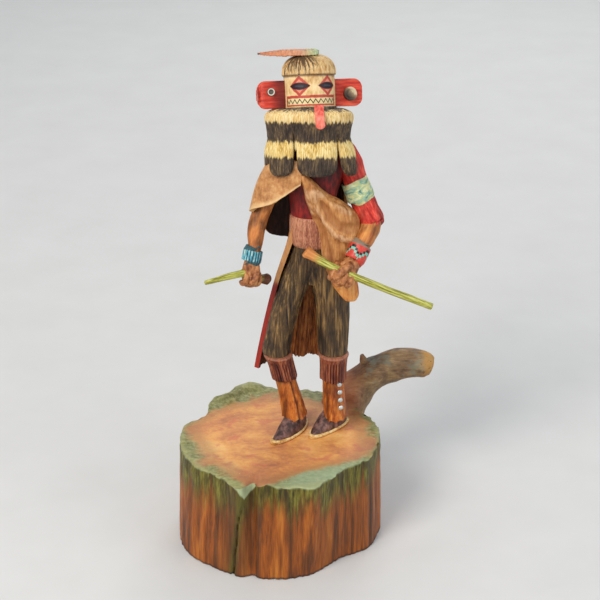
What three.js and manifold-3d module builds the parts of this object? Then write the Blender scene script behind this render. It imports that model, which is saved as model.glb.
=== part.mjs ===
// A carved and painted dancer figure on a sawn tree stump, in millimetres.
// +Z is up, +X runs to the figure's left hand, and the figure faces -Y.
// The origin is the centre of the stump's flat underside.
import * as THREE from "three";
import { mergeVertices } from "three/addons/utils/BufferGeometryUtils.js";
import Module from "manifold-3d";

const wasm = await Module();
wasm.setup();

// ---- Driving dimensions ----

const GAP = 0.3; // clearance between a piece and its neighbour
const SLIVER = 0.06; // seams finer than this are smoothed away

const STUMP = {
  sideRings: [0.35, 0.7], // heights of the rings up the side, as shares of the height
  topRings: [0.84, 0.5], // sizes of the rings on the top, as shares of the radius
  height: 62.5,
  topRadius: 59.5,
  footRadius: 61,
  slices: 84,
  edge: 1.6, // rounding of the rim
  lip: { bearing: 120, spread: 20, rise: 4.6, from: 0.84 }, // raised bark at the back
};

// Flutes of the trunk: bearing (deg), swell at the top and at the foot (mm), half spread (deg).
const FLUTES = [
  [152, -8, -3.5, 10],
  [126, -4.5, -2, 6],
  [110, 3, 2, 8],
  [86, -2, -1, 10],
  [40, -3, -3, 18],
  [-16, -1.5, -1, 8],
  [-44, -5, -4, 13],
  [-58, -1.5, -6, 22],
  [-72, 5, 1, 6],
  [-97, -4.5, -0.5, 4],
  [-106, -6.5, -3, 3],
  [-112, 4, 1, 6],
  [-130, -1.5, 0, 8],
  [-150, 1, 3, 20],
];

// Limb stub: centre x, y, z and radius of each ring, from inside the trunk to the sawn end.
const BRANCH = [
  [30, 34, 44, 13],
  [38, 41, 56, 13.5],
  [44, 44, 66, 12.5],
  [52, 46, 75, 10.5],
  [62, 46, 82, 9.8],
  [73, 46, 85.5, 9.2],
  [84, 45.5, 86, 8.4],
  [90, 45, 84.6, 7.4],
  [92, 45, 84, 5],
];
const TWIG = [
  [54, 46, 82, 3.6],
  [51, 45.5, 87, 2.8],
  [49.6, 45, 92.4, 1.8],
];

const SOLE_Z = STUMP.height + GAP;
const FOOT = { halfWidth: 6.4, sole: 1.7, instep: 13 };
// Each foot: heel and toe on the ground.
const FEET = [
  { heel: [14.6, 18], toe: [-5, -13.4] },
  { heel: [40, 18.4], toe: [17.4, -6.4] },
];

// Upright rings of the body: centre x, y, z, half width, half depth.
const BOOT_RIGHT = [
  [8.4, 6.6, 73.6, 7.6, 8.6],
  [7.6, 6.8, 77.4, 7.2, 7.9],
  [6.2, 7, 84, 6.6, 7],
  [2.6, 8, 98, 6, 6.4],
  [0.5, 8, 106, 5.8, 6],
];
const BOOT_LEFT = [
  [33, 6.6, 73, 6.9, 8.6],
  [32.6, 6.8, 76.6, 6.8, 8],
  [32, 7.2, 84, 6.6, 7.2],
  [31.3, 8, 98, 6.6, 6.8],
  [31.3, 8, 106, 6.2, 6.4],
];
const CUFF_RIGHT = [
  [2.4, 7.4, 98.6, 7.5, 8],
  [1, 7.2, 105, 7.6, 8],
  [-1, 7, 112.4, 8, 8.4],
  [-1.2, 7, 113.2, 6.6, 7],
];
const CUFF_LEFT = [
  [31.3, 7.6, 97.4, 7.8, 8.2],
  [31.3, 7.6, 105, 7.9, 8.3],
  [31.4, 7.6, 112.6, 8.5, 8.9],
  [31.4, 7.6, 113.4, 7.2, 7.6],
];
const LEG_RIGHT = [
  [-1.6, 8, 110, 6.6, 6.8],
  [-1.9, 8.8, 116.5, 7.8, 8],
  [0.8, 10, 130.5, 8, 8.6],
  [4.8, 11.6, 146, 8.3, 9.4],
  [9.8, 12.2, 159, 9.2, 10],
  [14, 12, 171, 9.6, 9.8],
  [17, 11, 182, 9, 9],
];
const LEG_LEFT = [
  [31.2, 8, 110, 7, 7],
  [31, 9.6, 117, 8.4, 8.2],
  [30.9, 11, 130.5, 9.6, 9],
  [30.6, 12, 143, 10.4, 9.8],
  [28.5, 12.2, 157, 11.2, 10],
  [25, 12, 170, 10.4, 9.8],
  [21, 11, 182, 9, 9],
];
const TORSO = [
  [20, 11.6, 166, 10, 7],
  [19.2, 10.5, 180, 11.6, 9.2],
  [18.6, 9.5, 190, 11.2, 9],
  [18.6, 9.4, 201, 12, 9.2],
  [19, 10, 213, 13.8, 9.6],
  [19.6, 11.4, 225, 17, 10],
  [19.4, 12.8, 235, 21.5, 9.6],
  [18, 13, 241, 17, 9],
  [17, 12.6, 248, 9, 8],
  [17, 12.4, 262, 8, 8],
];
const SASH = [
  [19, 10.2, 184, 12.4, 10.2],
  [18.6, 9.6, 188, 12.6, 10.6],
  [18.6, 9.4, 196, 12.9, 10.6],
  [18.7, 9.4, 200.5, 12.8, 10.3],
];

// Limbs: centre x, y, z and radius of each ring across the limb.
const SLEEVE = [
  [36, 13, 240, 5.5],
  [39.5, 13, 231, 6.9],
  [43.2, 12.2, 219, 6.7],
  [48, 10.6, 206, 7.2],
  [52, 8.6, 196.5, 7.5],
];
const ARMBAND = [
  [42.1, 12.6, 221, 7.4],
  [44.6, 11.8, 213.4, 7.6],
];
const FOREARM_LEFT = [
  [50.5, 9.6, 201, 5.6],
  [51, 6, 194.5, 6.2],
  [48.5, 0.5, 190, 5.4],
  [45.3, -4.2, 186, 4.5],
  [41.5, -9, 178.5, 4.4],
];
const CUFF_BRACELET_LEFT = [
  [45.4, -4.4, 186.2, 5.9],
  [42.2, -8.2, 180, 5.7],
];
const FIST_LEFT = [
  [42, -8.6, 180, 4.4],
  [39.2, -10.8, 177, 5.8],
  [35.6, -12.8, 173, 6.8],
  [31.6, -13.8, 169.4, 6],
  [29.4, -14.2, 167.6, 3.6],
];
const ARM_RIGHT = [
  [3, 14, 238, 5],
  [-2.4, 13.4, 226, 5.6],
  [-7.8, 12.2, 213, 5.6],
  [-11.4, 9.6, 202, 5.6],
  [-13, 5, 193, 5.1],
  [-13.8, 0.4, 185, 3.9],
  [-16, -3.6, 176.5, 3.9],
];
const CUFF_BRACELET_RIGHT = [
  [-14.9, -1.2, 182.6, 5.3],
  [-15.9, -3, 177.6, 5.5],
];
const FIST_RIGHT = [
  [-16, -3.4, 177.5, 3.8],
  [-16.6, -4.6, 173.4, 4.9],
  [-16.8, -5.2, 168.4, 5.3],
  [-16.6, -5.2, 164, 4.9],
  [-16.4, -5, 161.6, 3.2],
];

// The mantle. Each edge is a line of points from the front opening round to the back.
const CAPE_TOP = [
  [12.5, -4.6, 237],
  [5, -4, 239.6],
  [-0.4, 2.4, 240],
  [-2.6, 12, 239],
  [-1, 22.6, 237],
  [10, 27.5, 235],
];
const CAPE_HEM = [
  [12, -6.4, 224.5],
  [-3, -5, 213.5],
  [-16.2, 1, 206.8],
  [-14.1, 14.4, 198.6],
  [-7.6, 27, 183],
  [9, 30, 179],
];
const ROBE_ROWS = [
  // height, then x and y of five points from the right-hand edge round the back
  [234, [[12, 20], [9, 22.6], [18, 27], [31, 24.4], [38, 18]]],
  [200, [[8.4, 4.4], [7.4, 13.4], [10, 23.5], [28, 24.5], [39, 15]]],
  [161, [[-2.6, 11], [0.6, 20.4], [10, 29], [28, 29.5], [41, 19]]],
  [130, [[-9.6, 16], [-5, 25], [8, 33], [26, 33.5], [39, 24]]],
  [97.5, [[-15.7, 21.5], [-8, 31], [6, 37], [24, 37.5], [38, 29]]],
];
// Front fall of the mantle: centre x, y, z, half width, half depth.
const FRONT_FALL = [
  [13.6, -3.5, 229, 2.4, 3.2],
  [17.2, -2.2, 223, 4.2, 4.4],
  [20.6, -0.4, 217, 6.4, 6],
  [25.6, 2, 211, 10.2, 7.8],
  [30, 3.6, 204, 12.6, 9.4],
  [33.2, 4.2, 190, 11.2, 9.6],
  [34.2, 3.4, 177, 9.6, 8.4],
  [36.4, 1.6, 165, 8, 6.4],
  [39.4, 0.2, 156, 6, 4],
  [40.6, -0.4, 151.6, 3.4, 2.2],
];
const CLOTH = 2.8; // thickness of the carved cloth
// The cape's wall faces this axis, tipped down by dip, and bulges outwards.
const CAPE = { axis: [4, 13], dip: 4, bulge: 0.8, steps: [14, 4] };
// The robe's wall faces this axis; its pleats grow deeper towards the foot.
const ROBE = { axis: [20, 6], pleat: 0.8, pleats: 30, steps: [18, 7] };
// Swags of the front fall: depth as a share of its radius, number round it, and turn for each mm of height.
const SWAG = { depth: 0.05, count: 5, twist: 0.16 };

// The ruff round the neck: centre x, y, z, half width, half depth.
// Its heights hold on the neck's axis: the ruff leans back, so its front stands higher.
const RUFF = [
  [17, 12.6, 262.6, 15.6, 14],
  [16.9, 12.6, 262.4, 19.4, 17],
  [16.7, 12.6, 260.4, 23.4, 20],
  [16.6, 12.6, 256.4, 24.8, 21.2],
  [16.6, 12.6, 249, 24.2, 20.8],
  [16.7, 12.6, 241, 23.4, 20.2],
  [16.8, 12.6, 236, 22.4, 19.4],
];
const RUFF_AXIS = { x: 16.7, y: 12.6, lean: 0.3, squareness: 2.8, sides: 28 };
// Each lobe of the ruff: x and y at its root, x and y at its tip, half width.
const LOBES = [
  { root: [1.4, -3.6], tip: [0.4, -6.6], halfWidth: 7.3 },
  { root: [20.6, -4.4], tip: [20.2, -7.2], halfWidth: 11.3 },
  { root: [36.8, -2], tip: [41, -4.4], halfWidth: 7.2 },
  { root: [37, 13], tip: [41.2, 14], halfWidth: 7.4 },
  { root: [32, 29.6], tip: [33.4, 31.6], halfWidth: 8.4 },
  { root: [15.4, 31], tip: [15.2, 33.6], halfWidth: 8.6 },
  { root: [1, 29], tip: [-0.4, 31], halfWidth: 7.4 },
  { root: [-4, 13], tip: [-4.4, 14], halfWidth: 8.4 },
];
const LOBE = { top: 247, tip: 223.6, thick: 3.4, taper: 0.3, squareness: 2.6, sides: 12 };
// How a lobe narrows: share of the way to its tip, share of its width.
const LOBE_OUTLINE = [
  [0, 1],
  [0.74, 0.97],
  [0.9, 0.82],
  [0.97, 0.6],
  [1, 0.3],
];

// The mask leans back and turns a little to the figure's left.
const HEAD = {
  base: [17.3, 11.4, 262.4],
  lean: 20, // degrees, back
  turn: 11, // degrees, to the figure's left
  roll: -2.2, // degrees
  radius: 14,
  face: 18.6, // height of the mask up to the fringe
  hair: 11.6, // height of the hair above the fringe edge
  fringe: 0.9, // how far the hair stands proud of the mask
};
// The hair's dome: rings, fullness of its curve, straight band at the fringe, and lap over the mask.
const DOME = { steps: 5, fullness: 0.68, band: 2, overlap: 0.2 };
const EAR = { reach: 15.4, halfHeight: 7.6, thick: 3.6, middle: 8.6, root: 5, corner: 0.62, bevel: 0.5 };
// A plug is a peg with a raised rim round a sunk dish; rim and dish are shares of its radius.
const EAR_PLUG = { right: 2.1, left: 3, proud: 3, along: 8.2, rim: 0.82, dish: 0.5, sunk: 0.5 };
// The tongue hangs from root, drifts sideways by drift and comes forward by proud over the ruff.
const TONGUE = {
  width: 5.2,
  thick: 1.6,
  length: 10.4,
  root: [21.9, -4.1, 269.6],
  drift: 1.1,
  proud: 7.6,
  steps: 7,
  rounding: 0.2, // share of the length that the tip is rounded over
};
// The feather lies across the crown from its dark tip, and rises a little.
const FEATHER = { length: 33.5, halfWidth: 4.6, thick: 3, tip: [-11.4, 16, 292.6], rise: 1.2 };

// Stalks: centre x, y, z and radius, from the flared root to the far tip.
const STALK_LEFT = [
  [15.4, -13.6, 187.4, 3.3],
  [18, -13.9, 186, 2.8],
  [25, -14.8, 181.8, 1.9],
  [37, -16, 176, 2],
  [60, -17.4, 166.4, 1.9],
  [84.4, -17, 156, 1.9],
];
const STALK_RIGHT = [
  [-7.2, 1.2, 164, 3.3],
  [-9.4, -0.2, 164.8, 2.7],
  [-13.5, -3, 167.4, 1.7],
  [-18.5, -6.6, 171.4, 2.1],
  [-28, -10.6, 171.2, 1.8],
  [-41, -15, 169.4, 1.1],
];
const BUTTON = { radius: 1.6, thick: 1, bearing: -58, heights: [95.2, 90.2, 85.2, 80.4] };

// ---- Paints ----

const paint = (color, roughness, metalness = 0) =>
  new THREE.MeshStandardMaterial({ color, roughness, metalness });
const BARK = paint(0x9a6236, 0.9);
const FIGURE_WOOD = paint(0xc08a52, 0.8);
const EAR_RED = paint(0xc43a2c, 0.75);
const PLUG_GREY = paint(0x77726a, 0.7);
const TONGUE_CORAL = paint(0xe8665a, 0.75);
const FEATHER_ORANGE = paint(0xd98a5c, 0.8);
const STALK_GREEN = paint(0xa9a545, 0.75);
const SILVER = paint(0xb9bcc0, 0.35, 0.9);

// ---- Solids ----

// A closed three.js geometry as a manifold solid with its faces outwards.
function solid(geometry) {
  const bare = geometry.clone();
  bare.deleteAttribute("normal");
  bare.deleteAttribute("uv");
  const merged = mergeVertices(bare, 1e-4);
  const vertProperties = new Float32Array(merged.attributes.position.array);
  const made = (triVerts) =>
    new wasm.Manifold(new wasm.Mesh({ numProp: 3, vertProperties, triVerts }));
  const triVerts = new Uint32Array(merged.index.array);
  const body = made(triVerts);
  return body.volume() > 0 ? body : made(triVerts.reverse());
}

// A manifold solid as a three.js geometry of positions and faces.
function bareGeometry(body) {
  const mesh = body.getMesh();
  const geometry = new THREE.BufferGeometry();
  geometry.setAttribute("position", new THREE.BufferAttribute(mesh.vertProperties, 3));
  geometry.setIndex(new THREE.BufferAttribute(mesh.triVerts, 1));
  return geometry;
}

// The same, with normals to shade it by.
function geometryOf(body) {
  const geometry = bareGeometry(body);
  geometry.computeVertexNormals();
  return geometry;
}

const joined = (bodies) => bodies.reduce((sum, body) => sum.add(body));

// A joined or cut body without the sliver faces that its seams leave, and without inner voids.
function cleaned(body) {
  const welded = mergeVertices(bareGeometry(body), SLIVER / 2);
  const index = [...welded.index.array];
  const kept = [];
  for (let i = 0; i < index.length; i += 3) {
    const [a, b, c] = index.slice(i, i + 3);
    if (a !== b && b !== c && a !== c) kept.push(a, b, c);
  }
  welded.setIndex(kept);
  const shells = solid(welded).simplify(SLIVER).decompose();
  return shells.reduce((largest, shell) => (shell.volume() > largest.volume() ? shell : largest));
}
const degrees = THREE.MathUtils.degToRad;
const mix = THREE.MathUtils.lerp;

// A closed solid through rings of points that all have the same count.
function skin(rings) {
  const sides = rings[0].length;
  const points = rings.flat();
  const last = rings.length - 1;
  const middle = (ring) =>
    ring.reduce((sum, p) => sum.add(p), new THREE.Vector3()).divideScalar(sides);
  points.push(middle(rings[0]), middle(rings[last]));
  const faces = [];
  for (let i = 0; i < sides; i++) {
    const j = (i + 1) % sides;
    faces.push(points.length - 2, j, i);
    faces.push(points.length - 1, last * sides + i, last * sides + j);
    for (let k = 0; k < last; k++) {
      const a = k * sides;
      const b = a + sides;
      faces.push(a + i, a + j, b + j, a + i, b + j, b + i);
    }
  }
  const geometry = new THREE.BufferGeometry().setFromPoints(points);
  geometry.setIndex(faces);
  return solid(geometry);
}

// Rows of numbers made smooth: each column runs on a Catmull-Rom curve through the rows.
function smoothRows(rows, perSpan) {
  const columns = rows[0].length;
  const out = [];
  const spans = rows.length - 1;
  for (let s = 0; s <= spans * perSpan; s++) {
    const k = Math.min(spans - 1, Math.floor(s / perSpan));
    const t = s / perSpan - k;
    const row = [];
    for (let c = 0; c < columns; c++) {
      const before = rows[Math.max(0, k - 1)][c];
      const after = rows[Math.min(spans, k + 2)][c];
      row.push(hermite(before, rows[k][c], rows[k + 1][c], after, t));
    }
    out.push(row);
  }
  return out;
}

// One Catmull-Rom span from b to c.
function hermite(a, b, c, d, t) {
  const m0 = (c - a) / 2;
  const m1 = (d - b) / 2;
  const t2 = t * t;
  const t3 = t2 * t;
  return (2 * t3 - 3 * t2 + 1) * b + (t3 - 2 * t2 + t) * m0 + (3 * t2 - 2 * t3) * c + (t3 - t2) * m1;
}

// A superellipse's point: power 2 is an ellipse, and more is squarer.
function oval(angle, halfWidth, halfDepth, power = 2) {
  const bend = (v) => Math.sign(v) * Math.abs(v) ** (2 / power);
  return [halfWidth * bend(Math.cos(angle)), halfDepth * bend(Math.sin(angle))];
}

// Level rings of points from rows of x, y, z, half width, half depth.
function ringsOf(rows, { sides = 14, perSpan = 1, power = 2, fold = () => 1 } = {}) {
  return smoothRows(rows, perSpan).map(([x, y, z, halfWidth, halfDepth]) =>
    Array.from({ length: sides }, (_, i) => {
      const angle = (2 * Math.PI * i) / sides;
      const [dx, dy] = oval(angle, halfWidth, halfDepth, power);
      const k = fold(angle, z);
      return new THREE.Vector3(x + dx * k, y + dy * k, z);
    }),
  );
}

// An upright form through level rings.
const column = (rows, options) => skin(ringsOf(rows, options));

// A limb through round rings of x, y, z, radius that stand square to its path.
function limb(rows, { sides = 12, perSpan = 1, across = [1, 0, 0] } = {}) {
  const fine = smoothRows(rows, perSpan);
  const centres = fine.map(([x, y, z]) => new THREE.Vector3(x, y, z));
  const rings = centres.map((centre, k) => {
    const ahead = centres[Math.min(k + 1, centres.length - 1)];
    const behind = centres[Math.max(k - 1, 0)];
    const along = ahead.clone().sub(behind).normalize();
    const u = new THREE.Vector3(...across);
    u.addScaledVector(along, -along.dot(u)).normalize();
    const v = along.clone().cross(u);
    const radius = fine[k][3];
    return Array.from({ length: sides }, (_, i) => {
      const angle = (2 * Math.PI * i) / sides;
      return centre
        .clone()
        .addScaledVector(u, radius * Math.cos(angle))
        .addScaledVector(v, radius * Math.sin(angle));
    });
  });
  return skin(rings);
}

// A thick sheet: point(u, v) gives its outer face, and the other face lies `thick` along inward(u, v).
function sheet(point, inward, thick, uSteps, vSteps) {
  const rings = [];
  for (let k = 0; k <= vSteps; k++) {
    const v = k / vSteps;
    const outer = [];
    const inner = [];
    for (let i = 0; i <= uSteps; i++) {
      const u = i / uSteps;
      const p = point(u, v);
      outer.push(p);
      inner.unshift(p.clone().addScaledVector(inward(u, v), thick));
    }
    rings.push([...outer, ...inner]);
  }
  return skin(rings);
}

const curveOf = (points) =>
  new THREE.CatmullRomCurve3(points.map((p) => new THREE.Vector3(...p)), false, "catmullrom");

// ---- Stump ----

// Radius of the trunk at a bearing, and at a height from 0 at the foot to 1 at the top.
function trunkRadius(bearing, height) {
  let radius = mix(STUMP.footRadius, STUMP.topRadius, height);
  for (const [at, top, foot, spread] of FLUTES) {
    const away = (((bearing - at + 540) % 360) - 180) / spread;
    radius += mix(foot, top, height) * Math.exp(-away * away);
  }
  return radius;
}

// How far the top rises over its level face at a bearing, and at a fraction of the radius.
function lipRise(bearing, out) {
  const { bearing: at, spread, rise, from } = STUMP.lip;
  const away = (((bearing - at + 540) % 360) - 180) / spread;
  const ramp = THREE.MathUtils.smoothstep(out, from, 0.95);
  return rise * ramp * Math.exp(-(away ** 4));
}

function trunk() {
  const ring = (height, out, drop = 0) =>
    Array.from({ length: STUMP.slices }, (_, i) => {
      const bearing = (360 * i) / STUMP.slices - 180;
      const radius = trunkRadius(bearing, height) * out;
      const angle = degrees(bearing);
      const z = height * STUMP.height + (height === 1 ? lipRise(bearing, out) - drop : 0);
      return new THREE.Vector3(radius * Math.cos(angle), radius * Math.sin(angle), z);
    });
  const soften = 1 - STUMP.edge / STUMP.topRadius;
  return skin([
    ring(0, soften),
    ring(STUMP.edge / STUMP.height, 1),
    ...STUMP.sideRings.map((height) => ring(height, 1)),
    ring(1, 1, STUMP.edge),
    ring(1, soften),
    ...STUMP.topRings.map((out) => ring(1, out)),
  ]);
}

function stump() {
  const branch = limb(BRANCH, { sides: 14, perSpan: 2, across: [0, 1, 0] });
  const twig = limb(TWIG, { sides: 8 });
  return cleaned(joined([trunk(), branch, twig]));
}

// ---- Figure ----

// A moccasin: a flat sole and a low rounded upper that narrows to the toe.
function moccasin({ heel, toe }) {
  const start = new THREE.Vector3(heel[0], heel[1], SOLE_Z);
  const end = new THREE.Vector3(toe[0], toe[1], SOLE_Z);
  const along = end.clone().sub(start);
  const side = new THREE.Vector3(along.y, -along.x, 0).normalize();
  const halfWidth = (t) => FOOT.halfWidth * Math.sqrt(Math.max(0, Math.sin(Math.PI * t ** 0.86)));
  const height = (t) => {
    const fall = THREE.MathUtils.smoothstep(t, 0.3, 1);
    return mix(FOOT.instep, 3, fall) * mix(0.6, 1, Math.min(1, t * 4));
  };
  const ring = (t, width, top) => {
    const middle = start.clone().addScaledVector(along, t);
    const points = [];
    for (let i = 0; i <= 8; i++) {
      const angle = (Math.PI * i) / 8;
      const p = middle.clone().addScaledVector(side, width * Math.cos(angle));
      p.z += FOOT.sole * 0.5 + top * Math.sin(angle) ** 0.8;
      points.push(p);
    }
    points.push(middle.clone().addScaledVector(side, -width));
    points.push(middle.clone().addScaledVector(side, width));
    return points;
  };
  const stations = [0.015, 0.07, 0.17, 0.32, 0.52, 0.7, 0.84, 0.93, 0.985];
  const upper = skin(stations.map((t) => ring(t, halfWidth(t) * 0.9, height(t))));
  const welt = skin(stations.map((t) => ring(t, halfWidth(t), FOOT.sole * 0.6)));
  return upper.add(welt);
}

// The cape over the right shoulder, open in front over the arm.
function cape() {
  const top = curveOf(CAPE_TOP);
  const hem = curveOf(CAPE_HEM);
  const [axisX, axisY] = CAPE.axis;
  const inward = (u, v) => {
    const p = top.getPoint(u).lerp(hem.getPoint(u), v);
    return new THREE.Vector3(axisX - p.x, axisY - p.y, -CAPE.dip).normalize();
  };
  const point = (u, v) => {
    const p = top.getPoint(u).lerp(hem.getPoint(u), v);
    const bulge = CAPE.bulge * Math.sin(Math.PI * v);
    return p.addScaledVector(inward(u, v), -bulge);
  };
  return sheet(point, inward, CLOTH, ...CAPE.steps);
}

// The long back of the robe, which wraps the body and hangs to the knees.
function robe() {
  const rows = ROBE_ROWS.map(([z, plan]) => plan.map(([x, y]) => [x, y, z]));
  const columns = rows[0].map((_, i) => curveOf(rows.map((row) => row[i])));
  const [axisX, axisY] = ROBE.axis;
  const point = (u, v) => {
    const across = curveOf(columns.map((c) => c.getPoint(v).toArray()));
    const p = across.getPoint(u);
    p.y += ROBE.pleat * v * Math.sin(u * ROBE.pleats);
    return p;
  };
  const inward = (u, v) => {
    const p = point(u, v);
    return new THREE.Vector3(axisX - p.x, axisY - p.y, 0).normalize();
  };
  return sheet(point, inward, CLOTH, ...ROBE.steps);
}

// The fall of the mantle down the left front, with shallow swags.
function frontFall() {
  const fold = (angle, z) => 1 + SWAG.depth * Math.sin(SWAG.count * angle + SWAG.twist * z);
  return column(FRONT_FALL, { sides: 22, fold });
}

function ruff() {
  const leaning = (p) => p.setZ(p.z + RUFF_AXIS.lean * (RUFF_AXIS.y - p.y));
  const rounds = ringsOf(RUFF, { sides: RUFF_AXIS.sides, power: RUFF_AXIS.squareness });
  const drum = skin(rounds.map((ring) => ring.map(leaning)));
  const lobes = LOBES.map(({ root, tip, halfWidth }) => {
    const out = new THREE.Vector2(root[0] - RUFF_AXIS.x, root[1] - RUFF_AXIS.y).normalize();
    const across = new THREE.Vector2(-out.y, out.x);
    const rings = LOBE_OUTLINE.map(([t, width]) => {
      const x = mix(root[0], tip[0], t);
      const y = mix(root[1], tip[1], t);
      const z = mix(LOBE.top, LOBE.tip, t);
      return Array.from({ length: LOBE.sides }, (_, i) => {
        const angle = (2 * Math.PI * i) / LOBE.sides;
        const deep = LOBE.thick * (1 - LOBE.taper * t);
        const [a, b] = oval(angle, halfWidth * width, deep, LOBE.squareness);
        const p = new THREE.Vector3(x + a * across.x + b * out.x, y + a * across.y + b * out.y, z);
        return leaning(p);
      });
    });
    return skin(rings);
  });
  return joined([drum, ...lobes]);
}

// The frame that the mask, its ears and the tongue are set in: z along the mask, -y out of the face.
function headFrame() {
  const group = new THREE.Group();
  group.position.set(...HEAD.base);
  group.rotation.set(degrees(-HEAD.lean), degrees(HEAD.roll), degrees(HEAD.turn), "XYZ");
  group.updateMatrix();
  return group.matrix;
}
const HEAD_FRAME = headFrame();

// A turned form in the head's frame: pairs of radius and height, from the axis and back to it.
function turned(profile, segments = 24) {
  const points = profile.map(([r, z]) => new THREE.Vector2(r, z));
  const geometry = new THREE.LatheGeometry(points, segments).rotateX(Math.PI / 2);
  return solid(geometry.applyMatrix4(HEAD_FRAME));
}

// The bobbed hair, a dome over the top of the mask, grown by a clearance.
function hairCap(grow = 0) {
  const { radius, face, hair, fringe } = HEAD;
  const outer = radius + fringe + grow;
  const { steps, fullness, band, overlap } = DOME;
  const dome = [];
  for (let k = 0; k < steps; k++) {
    const angle = (Math.PI / 2) * (k / steps);
    const rise = (hair + grow - band) * Math.sin(angle);
    dome.push([outer * Math.cos(angle) ** fullness, face + band + rise]);
  }
  const under = face - overlap;
  return turned([[0, under], [outer, under], ...dome, [0, face + hair + grow]]);
}

function maskAndHair() {
  const { radius, face } = HEAD;
  const mask = turned([[0, -2], [radius - 1, -2], [radius, -1], [radius, face + 1], [0, face + 1]]);
  return mask.add(hairCap());
}

// An ear board in the head's frame, side -1 on the figure's right and 1 on its left.
function ear(side) {
  const { reach, halfHeight, thick, middle, root, bevel } = EAR;
  const shape = new THREE.Shape();
  const corner = halfHeight * EAR.corner;
  const start = HEAD.radius - root;
  const end = HEAD.radius + reach;
  shape.moveTo(start, -halfHeight);
  shape.lineTo(end - corner, -halfHeight);
  shape.quadraticCurveTo(end, -halfHeight, end, -halfHeight + corner);
  shape.lineTo(end, halfHeight - corner);
  shape.quadraticCurveTo(end, halfHeight, end - corner, halfHeight);
  shape.lineTo(start, halfHeight);
  shape.closePath();
  const geometry = new THREE.ExtrudeGeometry(shape, {
    depth: thick - 2 * bevel,
    bevelEnabled: true,
    bevelThickness: bevel,
    bevelSize: bevel,
    bevelOffset: -bevel,
    bevelSegments: 1,
    curveSegments: 5,
  });
  geometry.translate(0, 0, -thick / 2 + bevel);
  geometry.rotateX(Math.PI / 2);
  if (side < 0) geometry.rotateZ(Math.PI);
  geometry.translate(0, 0, middle);
  const board = solid(geometry.applyMatrix4(HEAD_FRAME));
  const { radius, face, fringe } = HEAD;
  const clear = radius + GAP;
  const mask = turned([[0, -3], [clear, -3], [clear, face - 1], [clear + fringe, face - 1], [0, face + 9]]);
  return cleaned(board.subtract(mask));
}

// A short peg that stands out of the front of an ear board.
function earPlug(side) {
  const radius = side < 0 ? EAR_PLUG.right : EAR_PLUG.left;
  const proud = EAR_PLUG.proud;
  const { rim, dish, sunk } = EAR_PLUG;
  const floor = proud - sunk;
  const bowl = [[radius * rim, proud], [radius * dish, floor], [0, floor]];
  const profile = [[0, 0], [radius, 0], [radius, floor], ...bowl];
  const geometry = new THREE.LatheGeometry(profile.map(([r, z]) => new THREE.Vector2(r, z)), 12);
  geometry.rotateX(Math.PI);
  geometry.translate(
    side * (HEAD.radius + EAR_PLUG.along),
    -EAR.thick / 2 - GAP,
    EAR.middle,
  );
  return solid(geometry.applyMatrix4(HEAD_FRAME));
}

// The tongue: a strip that hangs from the lower lip over the ruff.
function tongue() {
  const { width, thick, length, root, drift, proud, steps, rounding } = TONGUE;
  const half = width / 2;
  const rings = [];
  for (let k = 0; k <= steps; k++) {
    const t = k / steps;
    const near = Math.max(0, (t - 1 + rounding) / rounding);
    const end = Math.sqrt(Math.max(0.05, 1 - near ** 2));
    const x = root[0] + drift * t;
    const y = root[1] - proud * Math.sin((Math.PI / 2) * Math.min(1, t * 1.35));
    const z = root[2] - length * t;
    rings.push(
      Array.from({ length: 10 }, (_, i) => {
        const [a, b] = oval((2 * Math.PI * i) / 10, half * end, thick / 2, 3);
        return new THREE.Vector3(x + a, y + b, z);
      }),
    );
  }
  return skin(rings);
}

// The feather laid across the crown, its narrow dark tip to the figure's right.
function crownFeather() {
  const { length, halfWidth, thick, tip, rise } = FEATHER;
  const stations = [0, 0.05, 0.14, 0.3, 0.5, 0.7, 0.86, 0.95, 1];
  const rings = stations.map((t) => {
    const end = Math.min(1, Math.sqrt(Math.max(0.02, 1 - ((t - 0.86) / 0.15) ** 2)) * (t > 0.86 ? 1 : 2));
    const width = halfWidth * mix(0.4, 1, Math.min(1, t * 2.4)) * end;
    const deep = (thick / 2) * mix(0.4, 1, Math.min(1, t * 3)) * Math.sqrt(end);
    const x = tip[0] + length * t;
    const z = tip[2] + rise * t;
    return Array.from({ length: 10 }, (_, i) => {
      const [a, b] = oval((2 * Math.PI * i) / 10, width, deep, 2);
      return new THREE.Vector3(x, tip[1] - a, z + b);
    });
  });
  return cleaned(skin(rings).subtract(hairCap(GAP)));
}

const stalk = (rows, grow = 0) =>
  limb(rows.map(([x, y, z, r]) => [x, y, z, r + grow]), { sides: 10, perSpan: 2, across: [0, 1, 0] });

// The left boot's centre and half sizes at a height.
function bootLeftAt(z) {
  const rows = smoothRows(BOOT_LEFT, 8);
  return rows.find((row) => row[2] >= z);
}

// A domed tack with its flat side against the left boot.
function button(z) {
  const { radius, thick, bearing } = BUTTON;
  const profile = [[0, 0], [radius, 0], [radius, thick * 0.4], [radius * 0.6, thick * 0.85], [0, thick]];
  const geometry = new THREE.LatheGeometry(profile.map(([r, h]) => new THREE.Vector2(r, h)), 10);
  const [x, y, , halfWidth, halfDepth] = bootLeftAt(z);
  const angle = degrees(bearing);
  const out = new THREE.Vector3(Math.cos(angle) / halfWidth, Math.sin(angle) / halfDepth, 0).normalize();
  geometry.applyQuaternion(new THREE.Quaternion().setFromUnitVectors(new THREE.Vector3(0, 1, 0), out));
  const away = GAP + 0.1;
  geometry.translate(
    x + halfWidth * Math.cos(angle) + away * out.x,
    y + halfDepth * Math.sin(angle) + away * out.y,
    z,
  );
  return solid(geometry);
}

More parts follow.
